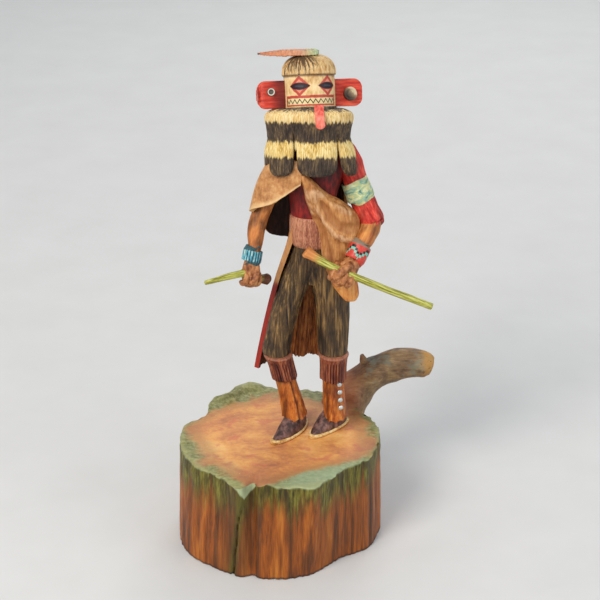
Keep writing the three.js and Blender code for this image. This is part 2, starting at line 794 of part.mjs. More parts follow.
function figure() {
  const body = joined([
    ...FEET.map(moccasin),
    column(BOOT_RIGHT),
    column(BOOT_LEFT),
    column(CUFF_RIGHT, { sides: 18 }),
    column(CUFF_LEFT, { sides: 18 }),
    column(LEG_RIGHT, { sides: 16 }),
    column(LEG_LEFT, { sides: 16 }),
    column(TORSO, { sides: 18 }),
    column(SASH, { sides: 18 }),
    limb(SLEEVE, { sides: 14 }),
    limb(ARMBAND, { sides: 16 }),
    limb(FOREARM_LEFT),
    limb(CUFF_BRACELET_LEFT, { sides: 14 }),
    limb(FIST_LEFT),
    limb(ARM_RIGHT),
    limb(CUFF_BRACELET_RIGHT, { sides: 14 }),
    limb(FIST_RIGHT),
    cape(),
    robe(),
    frontFall(),
    ruff(),
    maskAndHair(),
  ]);
  return cleaned(body.subtract(stalk(STALK_LEFT, GAP)).subtract(stalk(STALK_RIGHT, GAP)));
}

// ---- Assembly ----

const doll = new THREE.Group();

function place(name, body, material) {
  const mesh = new THREE.Mesh(geometryOf(body), material);
  mesh.name = name;
  doll.add(mesh);
}

const carved = figure();
place("stump", stump(), BARK);
place("figure", carved, FIGURE_WOOD);
place("ear_right", ear(-1), EAR_RED);
place("ear_left", ear(1), EAR_RED);
place("ear_plug_right", earPlug(-1), PLUG_GREY);
place("ear_plug_left", earPlug(1), PLUG_GREY);
place("tongue", tongue(), TONGUE_CORAL);
place("crown_feather", crownFeather(), FEATHER_ORANGE);
place("stalk_right", stalk(STALK_RIGHT), STALK_GREEN);
place("stalk_left", stalk(STALK_LEFT), STALK_GREEN);
BUTTON.heights.forEach((z, i) => place(`boot_button_${i + 1}`, button(z), SILVER));

export default doll;
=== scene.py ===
"""A carved and painted kachina doll that stands on a fluted wooden stump with a broken-off branch."""

import logging
import math
from collections.abc import Callable, Sequence
from dataclasses import dataclass
from enum import Enum

import bpy
import numpy as np
from mathutils import Matrix, Vector, noise

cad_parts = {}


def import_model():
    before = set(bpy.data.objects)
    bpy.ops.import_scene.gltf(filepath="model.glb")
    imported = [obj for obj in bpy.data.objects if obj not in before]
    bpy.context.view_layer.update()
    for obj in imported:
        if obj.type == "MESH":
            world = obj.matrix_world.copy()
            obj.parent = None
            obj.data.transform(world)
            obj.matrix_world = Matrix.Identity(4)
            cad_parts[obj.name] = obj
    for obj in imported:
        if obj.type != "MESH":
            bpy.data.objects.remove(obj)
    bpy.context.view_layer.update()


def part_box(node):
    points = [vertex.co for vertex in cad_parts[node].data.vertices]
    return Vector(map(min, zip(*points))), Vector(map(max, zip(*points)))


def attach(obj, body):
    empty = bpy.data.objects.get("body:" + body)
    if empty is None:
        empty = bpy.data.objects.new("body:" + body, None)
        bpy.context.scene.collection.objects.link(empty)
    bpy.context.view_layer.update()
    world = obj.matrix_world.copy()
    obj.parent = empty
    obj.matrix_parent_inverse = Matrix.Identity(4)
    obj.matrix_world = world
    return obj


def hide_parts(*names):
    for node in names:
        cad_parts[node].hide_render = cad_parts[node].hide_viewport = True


MM = 0.001
BODY = "root"
log = logging.getLogger("kachina_doll")

Row = tuple[float, ...]
Colour = tuple[float, float, float]
Array = np.ndarray
Cut = Callable[[Array, Array, Array], Array]
Piece = bpy.types.Object
Paint = bpy.types.Material
Socket = bpy.types.NodeSocket


class Slot(Enum):
    """The record's material slots."""

    STUMP = "stump_wood"
    CARVED = "carved_wood"
    EAR = "ear_paint"
    PLUG = "plug_wood"
    TONGUE = "tongue_paint"
    FEATHER = "feather_paint"
    STALK = "stalk_paint"
    TACK = "silver_tack"


# ---------------------------------------------------------------- bench tools


def clear_selection() -> None:
    """Leaves nothing selected, in object mode."""
    if bpy.context.object is not None and bpy.context.object.mode != "OBJECT":
        bpy.ops.object.mode_set(mode="OBJECT")
    bpy.ops.object.select_all(action="DESELECT")


def take(piece: Piece) -> None:
    """Selects one piece alone and makes it active."""
    clear_selection()
    piece.select_set(True)
    bpy.context.view_layer.objects.active = piece


def smooth_rows(rows: Sequence[Row], per_span: int) -> list[Row]:
    """Fills in rows along a smooth curve that passes through every given row.

    Args:
        rows: The named rows, each a tuple of numbers.
        per_span: How many steps lie between two named rows.

    Returns:
        The finer rows, from the first named row to the last.
    """
    if per_span <= 1:
        return [tuple(row) for row in rows]
    fine: list[Row] = []
    last = len(rows) - 1
    for k in range(last):
        a, b, c, d = (np.array(rows[min(max(k + s, 0), last)], float) for s in (-1, 0, 1, 2))
        for step in range(per_span):
            t = step / per_span
            bend = (
                (2 * b) + (c - a) * t + (2 * a - 5 * b + 4 * c - d) * t**2 + (3 * b - a - 3 * c + d) * t**3
            )
            fine.append(tuple(bend / 2))
    fine.append(tuple(float(v) for v in rows[last]))
    return fine


def places_of(piece: Piece) -> Array:
    """The piece's vertices, in mm, as an array of rows."""
    flat = np.empty(len(piece.data.vertices) * 3)
    piece.data.vertices.foreach_get("co", flat)
    return flat.reshape(-1, 3) / MM


def put_back(piece: Piece, places: Array) -> None:
    """Moves the piece's vertices to these places, in mm."""
    piece.data.vertices.foreach_set("co", (places * MM).ravel())
    piece.data.update()


def normals_of(piece: Piece) -> Array:
    """The piece's vertex normals as an array of rows."""
    flat = np.empty(len(piece.data.vertices) * 3)
    piece.data.vertex_normals.foreach_get("vector", flat)
    return flat.reshape(-1, 3)


def keep_values(piece: Piece, name: str, values: Array) -> None:
    """Stores one number for each vertex, which the paint reads by its name."""
    layer = piece.data.attributes.get(name) or piece.data.attributes.new(name, "FLOAT", "POINT")
    layer.data.foreach_set("value", values.astype(np.float32))


def apply_modifier(piece: Piece, kind: str, **settings: object) -> None:
    """Adds one modifier with its settings and applies it."""
    take(piece)
    modifier = piece.modifiers.new(kind.lower(), kind)
    for name, value in settings.items():
        setattr(modifier, name, value)
    bpy.ops.object.modifier_apply(modifier=modifier.name)


def face_out(piece: Piece) -> None:
    """Turns every face of a closed piece outwards."""
    take(piece)
    bpy.ops.object.mode_set(mode="EDIT")
    bpy.ops.mesh.select_all(action="SELECT")
    bpy.ops.mesh.normals_make_consistent(inside=False)
    bpy.ops.object.mode_set(mode="OBJECT")


def lumps(places: Array, size: float, stretch: Row = (1.0, 1.0, 1.0), seed: float = 0.0) -> Array:
    """Soft random lumps between about -1 and 1.

    Args:
        places: Where to read them, in mm.
        size: The size of one lump in mm.
        stretch: How many times longer the lumps are along x, y and z.
        seed: Moves to another part of the pattern.

    Returns:
        One value for each place.
    """
    scaled = places / (size * np.array(stretch)) + seed
    return np.array([noise.noise(Vector(p)) for p in scaled])


def strands(around: Array, count: int, seed: int, sharp: float = 2.2) -> tuple[Array, Array]:
    """Cuts between strands that lie side by side.

    Args:
        around: Where each vertex lies round the form, as a share of a turn.
        count: How many strands there are in a turn.
        seed: Fixes the random tones.
        sharp: How narrow the cuts are.

    Returns:
        The depth of the cut, from 0 on a strand to 1 in a cut, and each strand's own tone.
    """
    rng = np.random.default_rng(seed)
    spot = around * count
    number = np.floor(spot).astype(int) % count
    depth = np.abs(2 * (spot % 1.0) - 1) ** sharp
    return depth * (0.45 + 0.55 * rng.random(count))[number], rng.random(count)[number]


class Form:
    """A solid lofted ring by ring, which knows where each vertex lies round it and along it."""

    def __init__(
        self,
        name: str,
        rows: Sequence[Row],
        sides: int = 48,
        per_span: int = 4,
        across: Row | None = None,
        power: float = 2.0,
    ) -> None:
        """Lofts the form.

        Args:
            name: The piece's name.
            rows: Middle x, y, z, half width and, where it differs, half depth of each ring, in mm.
            sides: How many vertices a ring has.
            per_span: How many rings lie between two rows.
            across: The direction of each ring's width; without it the rings lie level.
            power: 2 for oval rings, more for squarer ones.
        """
        self.rows = smooth_rows(rows, per_span)
        self.sides = sides
        self.piece = self._extrude(name)
        turn = math.pi / 2 + 2 * math.pi * np.arange(sides) / sides
        ring = (np.abs(np.cos(turn)) ** power + np.abs(np.sin(turn)) ** power) ** (-1 / power)
        self.around = np.tile((turn / (2 * math.pi)) % 1.0, len(self.rows))
        self.along = np.repeat(np.arange(len(self.rows)) / (len(self.rows) - 1), sides)
        trued = []
        for k, row in enumerate(self.rows):
            u, v = self._ring_axes(k, across)
            centre = np.array(row[:3])
            width, depth = row[3] * ring * np.cos(turn), row[-1] * ring * np.sin(turn)
            trued.append(centre + np.outer(width, u) + np.outer(depth, v))
        put_back(self.piece, np.concatenate(trued))
        face_out(self.piece)

    def _extrude(self, name: str) -> Piece:
        """Extrudes a disc through the rows, resizing it at each."""
        clear_selection()
        first = self.rows[0]
        start = Vector(first[:3]) * MM
        bpy.ops.mesh.primitive_circle_add(
            vertices=self.sides, radius=first[3] * MM, fill_type="NGON", location=start
        )
        piece = bpy.context.object
        piece.name = name
        bpy.ops.object.transform_apply(location=True, rotation=True, scale=True)
        bpy.ops.object.mode_set(mode="EDIT")
        bpy.ops.mesh.select_all(action="SELECT")
        for before, row in zip(self.rows, self.rows[1:]):
            step = (Vector(row[:3]) - Vector(before[:3])) * MM
            bpy.ops.mesh.extrude_region_move(TRANSFORM_OT_translate={"value": step})
            grow = (row[3] / before[3], row[-1] / before[-1], 1.0)
            bpy.ops.transform.resize(value=grow, center_override=Vector(row[:3]) * MM)
        bpy.ops.object.mode_set(mode="OBJECT")
        return piece

    def _ring_axes(self, k: int, across: Row | None) -> tuple[Array, Array]:
        """The two directions that ring k lies in."""
        if across is None:
            return np.array([1.0, 0.0, 0.0]), np.array([0.0, 1.0, 0.0])
        ahead = np.array(self.rows[min(k + 1, len(self.rows) - 1)][:3])
        behind = np.array(self.rows[max(k - 1, 0)][:3])
        along = (ahead - behind) / np.linalg.norm(ahead - behind)
        u = np.array(across) - along * np.dot(along, across)
        u /= np.linalg.norm(u)
        return u, np.cross(along, u)

    def shape(self, moved: Callable[[Array], Array]) -> None:
        """Moves every vertex to moved(places)."""
        put_back(self.piece, moved(places_of(self.piece)))

    def carve(self, cut: Cut) -> None:
        """Moves each vertex along its normal by cut(...) mm, and keeps the cuts for the paint.

        Args:
            cut: Gives heights in mm, negative inwards.
        """
        places = places_of(self.piece)
        depth = cut(self.around, self.along, places)
        put_back(self.piece, places + normals_of(self.piece) * depth[:, None])
        low, high = np.percentile(depth, 2), np.percentile(depth, 98)
        keep_values(self.piece, "cut", np.clip((high - depth) / max(high - low, 1e-6), 0, 1))

    def carve_strands(
        self, count: int, depth: float, seed: int, sway: float = 0.0, sharp: float = 2.2
    ) -> None:
        """Cuts strands along the form and gives each its own tone.

        Args:
            count: Strands in a turn.
            depth: Depth of the cuts in mm.
            seed: Fixes the random tones and the sway.
            sway: How far the strands wander, in strands.
            sharp: How narrow the cuts are.
        """
        places = places_of(self.piece)
        wander = sway / count * lumps(places, 9.0, (1, 1, 2.5), seed * 3.7)
        cuts, tones = strands((self.around + wander) % 1.0, count, seed, sharp)
        ends = np.clip(np.minimum(self.along, 1 - self.along) * 12, 0, 1)
        put_back(self.piece, places - normals_of(self.piece) * (cuts * ends * depth)[:, None])
        keep_values(self.piece, "cut", cuts)
        keep_values(self.piece, "tone", tones)


def sheet(
    name: str,
    point: Callable[[float, float], Sequence[float]],
    across: int,
    down: int,
    thickness: float,
) -> Piece:
    """Makes a carved sheet with a wall: faces of material 0 outside, 1 inside and 2 on the rim.

    Args:
        name: The piece's name.
        point: Gives the outer surface in mm at shares across and down.
        across: Faces across.
        down: Faces down.
        thickness: The wall in mm.

    Returns:
        The piece.
    """
    clear_selection()
    bpy.ops.mesh.primitive_grid_add(x_subdivisions=across, y_subdivisions=down, size=2)
    piece = bpy.context.object
    piece.name = name
    flat = places_of(piece) * MM
    us, vs = (flat[:, 0] + 1) / 2, (1 - flat[:, 1]) / 2
    put_back(piece, np.array([point(u, v) for u, v in zip(us, vs)]))
    keep_values(piece, "across", us)
    keep_values(piece, "down", vs)
    for _ in range(3):
        piece.data.materials.append(None)
    places = places_of(piece)
    if np.mean(np.sum((places - places.mean(axis=0)) * normals_of(piece), axis=1)) < 0:
        take(piece)
        bpy.ops.object.mode_set(mode="EDIT")
        bpy.ops.mesh.select_all(action="SELECT")
        bpy.ops.mesh.flip_normals()
        bpy.ops.object.mode_set(mode="OBJECT")
    apply_modifier(
        piece, "SOLIDIFY", thickness=thickness * MM, offset=-1, material_offset=1, material_offset_rim=2,
        use_even_offset=False,
    )
    return piece


def finish_piece(
    piece: Piece,
    paints: Sequence[Paint],
    slot: Slot,
    node: str,
    crease: float = 50.0,
) -> None:
    """Gives a finished piece its paint and its body, and hides the CAD node that it stands for.

    Args:
        piece: The finished mesh, in place.
        paints: One material for each material index.
        slot: The record's slot that it is painted from; not used.
        node: The solid node that it stands for.
        crease: Edges sharper than this angle stay sharp.
    """
    kept = [polygon.material_index for polygon in piece.data.polygons]
    piece.data.materials.clear()
    for paint in paints:
        piece.data.materials.append(paint)
    piece.data.polygons.foreach_set("material_index", [min(k, len(paints) - 1) for k in kept])
    take(piece)
    bpy.ops.object.shade_smooth_by_angle(angle=math.radians(crease))
    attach(piece, BODY)
    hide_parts(node)
    log.info("%s: %d faces", piece.name, len(piece.data.polygons))


# ---------------------------------------------------------------- paint box


def tint(red: float, green: float, blue: float) -> tuple[float, float, float, float]:
    """A colour given by its three values from 0 to 255, as the shader takes it."""
    shares = (red / 255, green / 255, blue / 255)
    return (*(s / 12.92 if s <= 0.04045 else ((s + 0.055) / 1.055) ** 2.4 for s in shares), 1.0)


@dataclass(frozen=True)
class Setting:
    """Where a pattern's own axes lie: its origin in mm, and how they are turned."""

    place: Row = (0.0, 0.0, 0.0)
    turn: Row = (0.0, 0.0, 0.0)

    @staticmethod
    def along(start: Row, end: Row) -> "Setting":
        """The setting whose z runs from start to end."""
        heading = Vector(end[:3]) - Vector(start[:3])
        return Setting(tuple(start[:3]), tuple(heading.to_track_quat("Z", "Y").to_euler()))


class PaintBench:
    """Wires the nodes of one painted surface."""

    def __init__(self, name: str) -> None:
        """Starts a material with an empty shader."""
        self.material = bpy.data.materials.new(name)
        self.material.use_nodes = True
        self.tree = self.material.node_tree
        self.shader = self.tree.nodes["Principled BSDF"]

    def node(self, kind: str, **settings: object) -> bpy.types.Node:
        """Adds a node with its settings."""
        made = self.tree.nodes.new(kind)
        for name, value in settings.items():
            setattr(made, name, value)
        return made

    def feed(self, socket: Socket, source: object) -> None:
        """Links a socket to another, or sets its value."""
        if isinstance(source, Socket):
            self.tree.links.new(source, socket)
        else:
            socket.default_value = source

    def coordinates(self, setting: Setting = Setting()) -> Socket:
        """The surface's places in mm along the setting's own axes."""
        mapping = self.node("ShaderNodeMapping", vector_type="TEXTURE")
        self.feed(mapping.inputs["Vector"], self.node("ShaderNodeTexCoord").outputs["Object"])
        mapping.inputs["Location"].default_value = [v * MM for v in setting.place]
        mapping.inputs["Rotation"].default_value = setting.turn
        mapping.inputs["Scale"].default_value = (MM, MM, MM)
        return mapping.outputs["Vector"]

    def split(self, vector: Socket) -> tuple[Socket, ...]:
        """The x, y and z of a vector."""
        return tuple(self.wired("ShaderNodeSeparateXYZ", [vector]).outputs)

    def wired(self, kind: str, sources: Sequence[object], **settings: object) -> bpy.types.Node:
        """Adds a node and feeds its inputs in order."""
        made = self.node(kind, **settings)
        for socket, source in zip(made.inputs, sources):
            self.feed(socket, source)
        return made

    def maths(self, operation: str, *sources: object, clamp: bool = False) -> Socket:
        """One arithmetic step."""
        return self.wired("ShaderNodeMath", sources, operation=operation, use_clamp=clamp).outputs[0]

    def times(self, first: object, second: object) -> Socket:
        """One value multiplied by another."""
        return self.maths("MULTIPLY", first, second)

    def plus(self, first: object, second: object) -> Socket:
        """Two values added."""
        return self.maths("ADD", first, second)

    def minus(self, first: object, second: object) -> Socket:
        """The second value taken from the first."""
        return self.maths("SUBTRACT", first, second)

    def centred(self, value: object, spread: float) -> Socket:
        """A value from 0 to 1 made to swing about 0, over spread in all."""
        return self.times(self.minus(value, 0.5), spread)

    def weighted(self, first: object, share: float, second: object, rest: float) -> Socket:
        """Two values added in the given shares."""
        return self.plus(self.times(first, share), self.times(second, rest))

    def distance(self, dx: object, dy: object) -> Socket:
        """How far a point with these offsets lies from the origin."""
        return self.maths("SQRT", self.plus(self.times(dx, dx), self.times(dy, dy)))

    def scaled(self, vector: Socket, stretch: Row) -> Socket:
        """A vector multiplied along each axis."""
        return self.wired("ShaderNodeVectorMath", [vector, stretch], operation="MULTIPLY").outputs[0]

    def speckle(
        self, vector: Socket, scale: float, stretch: Row = (1.0, 1.0, 1.0), detail: float = 4.0,
        rough: float = 0.6, warp: float = 0.0,
    ) -> Socket:
        """Random cloud from 0 to 1.

        Args:
            vector: Places in mm.
            scale: Clouds to a mm.
            stretch: Multiplies the places, so below 1 draws the clouds out.
            detail: Finer layers.
            rough: Strength of the finer layers.
            warp: How much the clouds curl.

        Returns:
            The cloud's value.
        """
        cloud = self.node("ShaderNodeTexNoise")
        self.feed(cloud.inputs["Vector"], self.scaled(vector, stretch))
        cloud.inputs["Scale"].default_value = scale
        cloud.inputs["Detail"].default_value = detail
        cloud.inputs["Roughness"].default_value = rough
        cloud.inputs["Distortion"].default_value = warp
        return cloud.outputs["Fac"]

    def kept(self, name: str) -> Socket:
        """A number that the piece keeps at each vertex."""
        return self.node("ShaderNodeAttribute", attribute_name=name).outputs["Fac"]

    def step(self, value: object, low: float, high: float) -> Socket:
        """Rises smoothly from 0 at low to 1 at high; falls where low is above high."""
        ramp = self.node("ShaderNodeMapRange", interpolation_type="SMOOTHSTEP")
        turned = low > high
        ends = (high, low, 1.0, 0.0) if turned else (low, high, 0.0, 1.0)
        self.feed(ramp.inputs["Value"], value)
        for name, end in zip(("From Min", "From Max", "To Min", "To Max"), ends):
            ramp.inputs[name].default_value = end
        return ramp.outputs["Result"]

    def within(self, value: object, low: float, high: float, soft: float) -> Socket:
        """1 between low and high, fading over soft outside them."""
        rising = self.step(value, low - soft, low + soft)
        return self.times(rising, self.step(value, high + soft, high - soft))

    def mix(self, share: object, first: object, second: object, blend: str = "MIX") -> Socket:
        """Two colours mixed by a share."""
        mixer = self.node("ShaderNodeMix", data_type="RGBA", blend_type=blend)
        self.feed(mixer.inputs[0], share)
        for place, colour in ((6, first), (7, second)):
            self.feed(mixer.inputs[place], tint(*colour) if isinstance(colour, tuple) else colour)
        return mixer.outputs[2]

    def coat(self, under: object, over: object, share: object, strength: float = 1.0) -> Socket:
        """A second colour laid over the first where share is high."""
        return self.mix(share if strength == 1.0 else self.times(share, strength), under, over)

    def ramp(self, value: object, *stops: tuple[float, Colour]) -> Socket:
        """A run of colours along a value."""
        ramp = self.node("ShaderNodeValToRGB")
        while len(ramp.color_ramp.elements) < len(stops):
            ramp.color_ramp.elements.new(0.5)
        for element, (place, colour) in zip(ramp.color_ramp.elements, stops):
            element.position = place
            element.color = tint(*colour)
        self.feed(ramp.inputs["Fac"], value)
        return ramp.outputs["Color"]

    def done(
        self, colour: object, rough: float, height: object = None, depth: float = 0.3, sheen: float = 0.0
    ) -> Paint:
        """Finishes the surface.

        Args:
            colour: Its colour.
            rough: Its roughness.
            height: Fine relief, from 0 to 1.
            depth: The depth of that relief in mm.
            sheen: A soft waxed coat over it.

        Returns:
            The material.
        """
        self.feed(self.shader.inputs["Base Color"], colour)
        self.shader.inputs["Roughness"].default_value = rough
        self.shader.inputs["Specular IOR Level"].default_value = 0.35
        self.shader.inputs["Coat Weight"].default_value = sheen
        self.shader.inputs["Coat Roughness"].default_value = 0.35
        if height is not None:
            bump = self.node("ShaderNodeBump")
            bump.inputs["Distance"].default_value = depth * MM
            bump.inputs["Strength"].default_value = 1.0
            self.feed(bump.inputs["Height"], height)
            self.feed(self.shader.inputs["Normal"], bump.outputs["Normal"])
        return self.material


@dataclass(frozen=True)
class StreakedPaint:
    """Thin paint rubbed over carved wood, streaked along the grain, with painted shade darkening the cuts.
    """

    name: str
    deep: tuple[float, float, float]
    body: tuple[float, float, float]
    light: tuple[float, float, float]
    setting: Setting = Setting()
    grain: float = 0.9
    draw: float = 0.12
    patch: float = 0.07
    cut_shade_share: float = 0.75
    contrast: float = 1.0
    rough: float = 0.55
    relief: float = 0.25

    def make(self) -> Paint:
        """Wires the paint."""
        bench = PaintBench(self.name)
        places = bench.coordinates(self.setting)
        grain = bench.speckle(places, self.grain, (1, 1, self.draw), 5, 0.65)
        fibre = bench.speckle(places, self.grain * 4, (1, 1, self.draw * 0.6), 3, 0.6)
        patch = bench.speckle(places, self.patch, (1, 1, 0.6), 3, 0.5)
        tone = bench.centred(bench.kept("tone"), 0.16)
        level = bench.plus(grain, tone)
        level = bench.plus(level, bench.centred(patch, 0.5))
        spread = 0.17 / self.contrast
        middle = 0.45
        colour = bench.ramp(
            level,
            (middle - spread, self.deep),
            (middle, self.body),
            (middle + spread, self.light),
        )
        fine = bench.mix(
            0.35, colour, bench.ramp(fibre, (0.3, self.deep), (0.62, self.light)), "SOFT_LIGHT"
        )
        # Painted shade: the carved cuts are darkened towards half the deep colour.
        cut = bench.times(bench.maths("POWER", bench.kept("cut"), 1.6), self.cut_shade_share)
        colour = bench.mix(cut, fine, tuple(v * 0.5 for v in self.deep))
        relief = bench.weighted(grain, 0.5, fibre, 0.5)
        return bench.done(colour, self.rough, relief, self.relief)


# ---------------------------------------------------------------- stump


@dataclass
class Stump:
    """A short length of fluted trunk with a raised lip, a long crack and a broken-off branch."""

    height: float = 62.5
    top_radius: float = 59.5
    foot_radius: float = 61.0
    # Bearing, then how far the wood stands out at the top and the foot, and over how many degrees.
    flutes: tuple[Row, ...] = (
        (152, -8, -3.5, 10), (126, -4.5, -2, 6), (110, 3, 2, 8), (86, -2, -1, 10), (40, -3, -3, 18),
        (-16, -1.5, -1, 8), (-44, -5, -4, 13), (-58, -1.5, -6, 22), (-72, 5, 1, 6), (-97, -4.5, -0.5, 4),
        (-106, -6.5, -3, 3), (-112, 4, 1, 6), (-130, -1.5, 0, 8), (-150, 1, 3, 20),
    )
    lip_bearing: float = 120.0
    lip_spread: float = 20.0
    lip_rise: float = 4.6
    lip_from: float = 0.84
    # The crack: its bearings at the foot and at the top, its depth in mm, and its width in degrees.
    crack_bearings: tuple[float, float] = (-117.0, -109.0)
    crack_depth: float = 2.2
    crack_width: float = 0.6
    notch_bearing: float = -108.0
    notch_depth: float = 3.4
    knot_place: tuple[float, float] = (-36.0, -24.0)
    branch_rows: tuple[Row, ...] = (
        (30, 34, 44, 13), (38, 41, 56, 13.5), (44, 44, 66, 12.5), (52, 46, 75, 10.5), (62, 46, 82, 9.8),
        (73, 46, 85.5, 9.2), (84, 45.5, 86, 8.4), (90, 45, 84.6, 7.4), (92, 45, 84, 5),
    )
    twig_rows: tuple[Row, ...] = (
        (54, 46, 80, 4.6), (52.6, 45.8, 84, 3.6), (51, 45.5, 88, 2.6), (49.6, 45, 92.4, 1.2)
    )

    def outline(self, bearing: Array, level: Array) -> Array:
        """The trunk's radius at a bearing in degrees and a share of its height."""
        radius = self.foot_radius + (self.top_radius - self.foot_radius) * level
        for at, top, foot, spread in self.flutes:
            away = ((bearing - at + 540) % 360 - 180) / spread
            radius = radius + (foot + (top - foot) * level) * np.exp(-(away**2))
        return radius

    def trunk(self) -> Piece:
        """Lofts the trunk, then cuts its flutes, grain, crack and top."""
        side = [(0.0, 0.0, self.height * t, self.foot_radius) for t in np.linspace(0, 1, 44)]
        top = [
            (0.0, 0.0, self.height, self.top_radius * out)
            for out in (0.985, 0.965, *np.linspace(0.94, 0.03, 26))
        ]
        form = Form("stump_trunk", [(0.0, 0.0, 0.0, self.foot_radius * 0.97), *side[1:], *top], 360, 1)
        places = places_of(form.piece)
        rings = len(form.rows)
        ring = np.repeat(np.arange(rings), form.sides)
        bearing = np.degrees(np.arctan2(places[:, 1], places[:, 0]))
        level = places[:, 2] / self.height
        out = np.ones(len(places))
        on_top = ring >= len(side)
        out[on_top] = np.hypot(places[on_top, 0], places[on_top, 1]) / self.top_radius
        out[ring == 0] = 0.97
        radius = self.outline(bearing, level)
        arc = np.stack([radius * np.cos(np.radians(bearing)), radius * np.sin(np.radians(bearing))], 1)
        skin = np.column_stack([arc, places[:, 2]])
        wall = np.where(on_top | (ring == 0), 0.0, 1.0)
        grain = 0.55 * lumps(skin, 2.4, (1, 1, 14)) + 0.3 * lumps(skin, 1.1, (1, 1, 9), 7.0)
        rough_rim = 0.55 * lumps(skin, 4.2, (1, 1, 1.6), 3.0) * np.clip((level - 0.72) / 0.28, 0, 1)
        wander = 1.3 * lumps(skin, 13.0, (50, 50, 1), 2.0)
        foot_at, top_at = self.crack_bearings
        gap = (bearing - foot_at - (top_at - foot_at) * level - wander) / self.crack_width
        crack = self.crack_depth * np.exp(-(gap**2)) * np.clip((0.86 - level) * 8, 0, 1)
        radius = radius + wall * (grain + rough_rim - crack)
        radius = radius * out - np.where(on_top, crack * np.clip((out - 0.9) / 0.1, 0, 1), 0.0)
        x, y = radius * np.cos(np.radians(bearing)), radius * np.sin(np.radians(bearing))
        z = places[:, 2].copy()
        z += self._top_relief(bearing, out, np.column_stack([x, y, z])) * on_top
        brink = ring == len(side) - 1
        z[brink] += self._top_relief(bearing, out, np.column_stack([x, y, z]))[brink] - 0.5
        foot = ring == 1
        z[foot] = 0.25 + np.clip(1.2 * lumps(skin, 3.0, (1, 1, 1), 11.0)[foot], 0, 1.3)
        put_back(form.piece, np.column_stack([x, y, z]))
        cuts = np.clip(-(grain + rough_rim) * 1.1 + 0.15 + crack / 2.5, 0, 1) * wall
        keep_values(form.piece, "cut", cuts)
        for polygon in form.piece.data.polygons:
            polygon.material_index = int(
                polygon.normal.z > 0.55 and polygon.center.z > self.height * MM * 0.85
            )
        return form.piece

    def _top_relief(self, bearing: Array, out: Array, places: Array) -> Array:
        """How far the top stands above or below its level, in mm."""
        away = ((bearing - self.lip_bearing + 540) % 360 - 180) / self.lip_spread
        ramp = np.clip((out - self.lip_from) / (0.95 - self.lip_from), 0, 1)
        lip = self.lip_rise * ramp**2 * (3 - 2 * ramp) * np.exp(-(away**4))
        flat = places * np.array([1, 1, 0])
        chips = np.clip(lumps(flat, 7.0, seed=5.0) + 0.15, 0, 1) * 2.4 * np.clip((out - 0.93) / 0.07, 0, 1)
        notch = (
            self.notch_depth * np.exp(-(((bearing - self.notch_bearing) / 6.5) ** 2))
            * np.clip((out - 0.86) / 0.14, 0, 1)
        )
        bumps = 0.22 * lumps(flat, 6.0, seed=9.0) + 0.12 * lumps(flat, 2.2, seed=4.0)
        from_knot = np.hypot(places[:, 0] - self.knot_place[0], places[:, 1] - self.knot_place[1])
        knot = 0.55 * np.exp(-(((from_knot - 3.2) / 0.9) ** 2)) - 0.5 * np.exp(-((from_knot / 1.4) ** 2))
        return lip - chips - notch + bumps * np.clip((1 - out) * 30, 0.2, 1) + knot

    def branch(self) -> Piece:
        """Lofts the branch, knobbly and cracked, to a broken end."""
        form = Form("stump_branch", self.branch_rows, 84, 7, across=(0, 1, 0))

        def cut(around: Array, along: Array, places: Array) -> Array:
            """Knobs and fibres, with one lengthwise crack."""
            knobs = 1.5 * lumps(places, 11.0, seed=1.0) + 0.5 * lumps(places, 4.0, (2, 1, 1.6), 6.0)
            fibres = 0.22 * lumps(places, 1.5, (5, 1, 3), 8.0)
            split = (around - 0.93 + 0.02 * np.sin(along * 19)) / 0.012
            crack = (
                1.5 * np.exp(-(split**2)) * np.clip((along - 0.28) * 8, 0, 1)
                * np.clip((0.86 - along) * 8, 0, 1)
            )
            return (knobs + fibres) * np.clip((1 - along) * 14, 0, 1) - crack

        form.carve(cut)
        return form.piece

    def twig(self) -> Piece:
        """The stub of a twig on top of the branch."""
        form = Form("stump_twig", self.twig_rows, 28, 5, across=(1, 0, 0))
        form.carve(lambda around, along, places: 0.35 * lumps(places, 2.4, (1, 1, 2), 2.0))
        return form.piece

    def side_paint(self) -> Paint:
        """Orange-brown wood with dark streaks, green running down from the rim and along the crack, and
        painted shade in the grooves and the crack.
        """
        bench = PaintBench("stump_side")
        places = bench.coordinates()
        x, y, z = bench.split(places)
        bearing = bench.times(bench.maths("ARCTAN2", y, x), 180 / math.pi)
        streak = bench.speckle(places, 0.22, (1, 1, 0.07), 5, 0.62)
        fibre = bench.speckle(places, 1.5, (1, 1, 0.035), 4, 0.7)
        band = bench.speckle(places, 0.055, (1, 1, 0.02), 2, 0.5)
        level = bench.weighted(streak, 0.55, fibre, 0.25)
        level = bench.plus(level, bench.times(band, 0.35))
        colour = bench.ramp(
            level,
            (0.42, (56, 34, 18)),
            (0.52, (112, 60, 22)),
            (0.60, (158, 82, 22)),
            (0.70, (190, 114, 40)),
        )
        grey = bench.step(bench.speckle(places, 0.07, (1, 1, 0.25), 3, 0.6), 0.56, 0.68)
        colour = bench.coat(colour, (126, 82, 50), grey, 0.35)
        drip = bench.speckle(places, 0.13, (1, 1, 0.001), 4, 0.65)
        reach = bench.minus(z, bench.times(drip, -62.0))
        green = bench.step(reach, self.height + 4.0, self.height + 24.0)
        moss = bench.ramp(
            bench.speckle(places, 0.6, (1, 1, 0.12), 4, 0.7),
            (0.36, (52, 46, 16)),
            (0.5, (96, 88, 26)),
            (0.64, (132, 124, 48)),
        )
        colour = bench.coat(colour, moss, green)
        dark_rim = bench.step(bench.speckle(places, 0.2, (1, 1, 0.2), 3, 0.6), 0.52, 0.62)
        near_rim = bench.times(dark_rim, bench.step(z, self.height - 15, self.height - 4))
        colour = bench.coat(colour, (66, 58, 26), near_rim, 0.75)
        edge = bench.step(bench.plus(z, bench.times(drip, 3.0)), self.height - 0.6, self.height + 1.2)
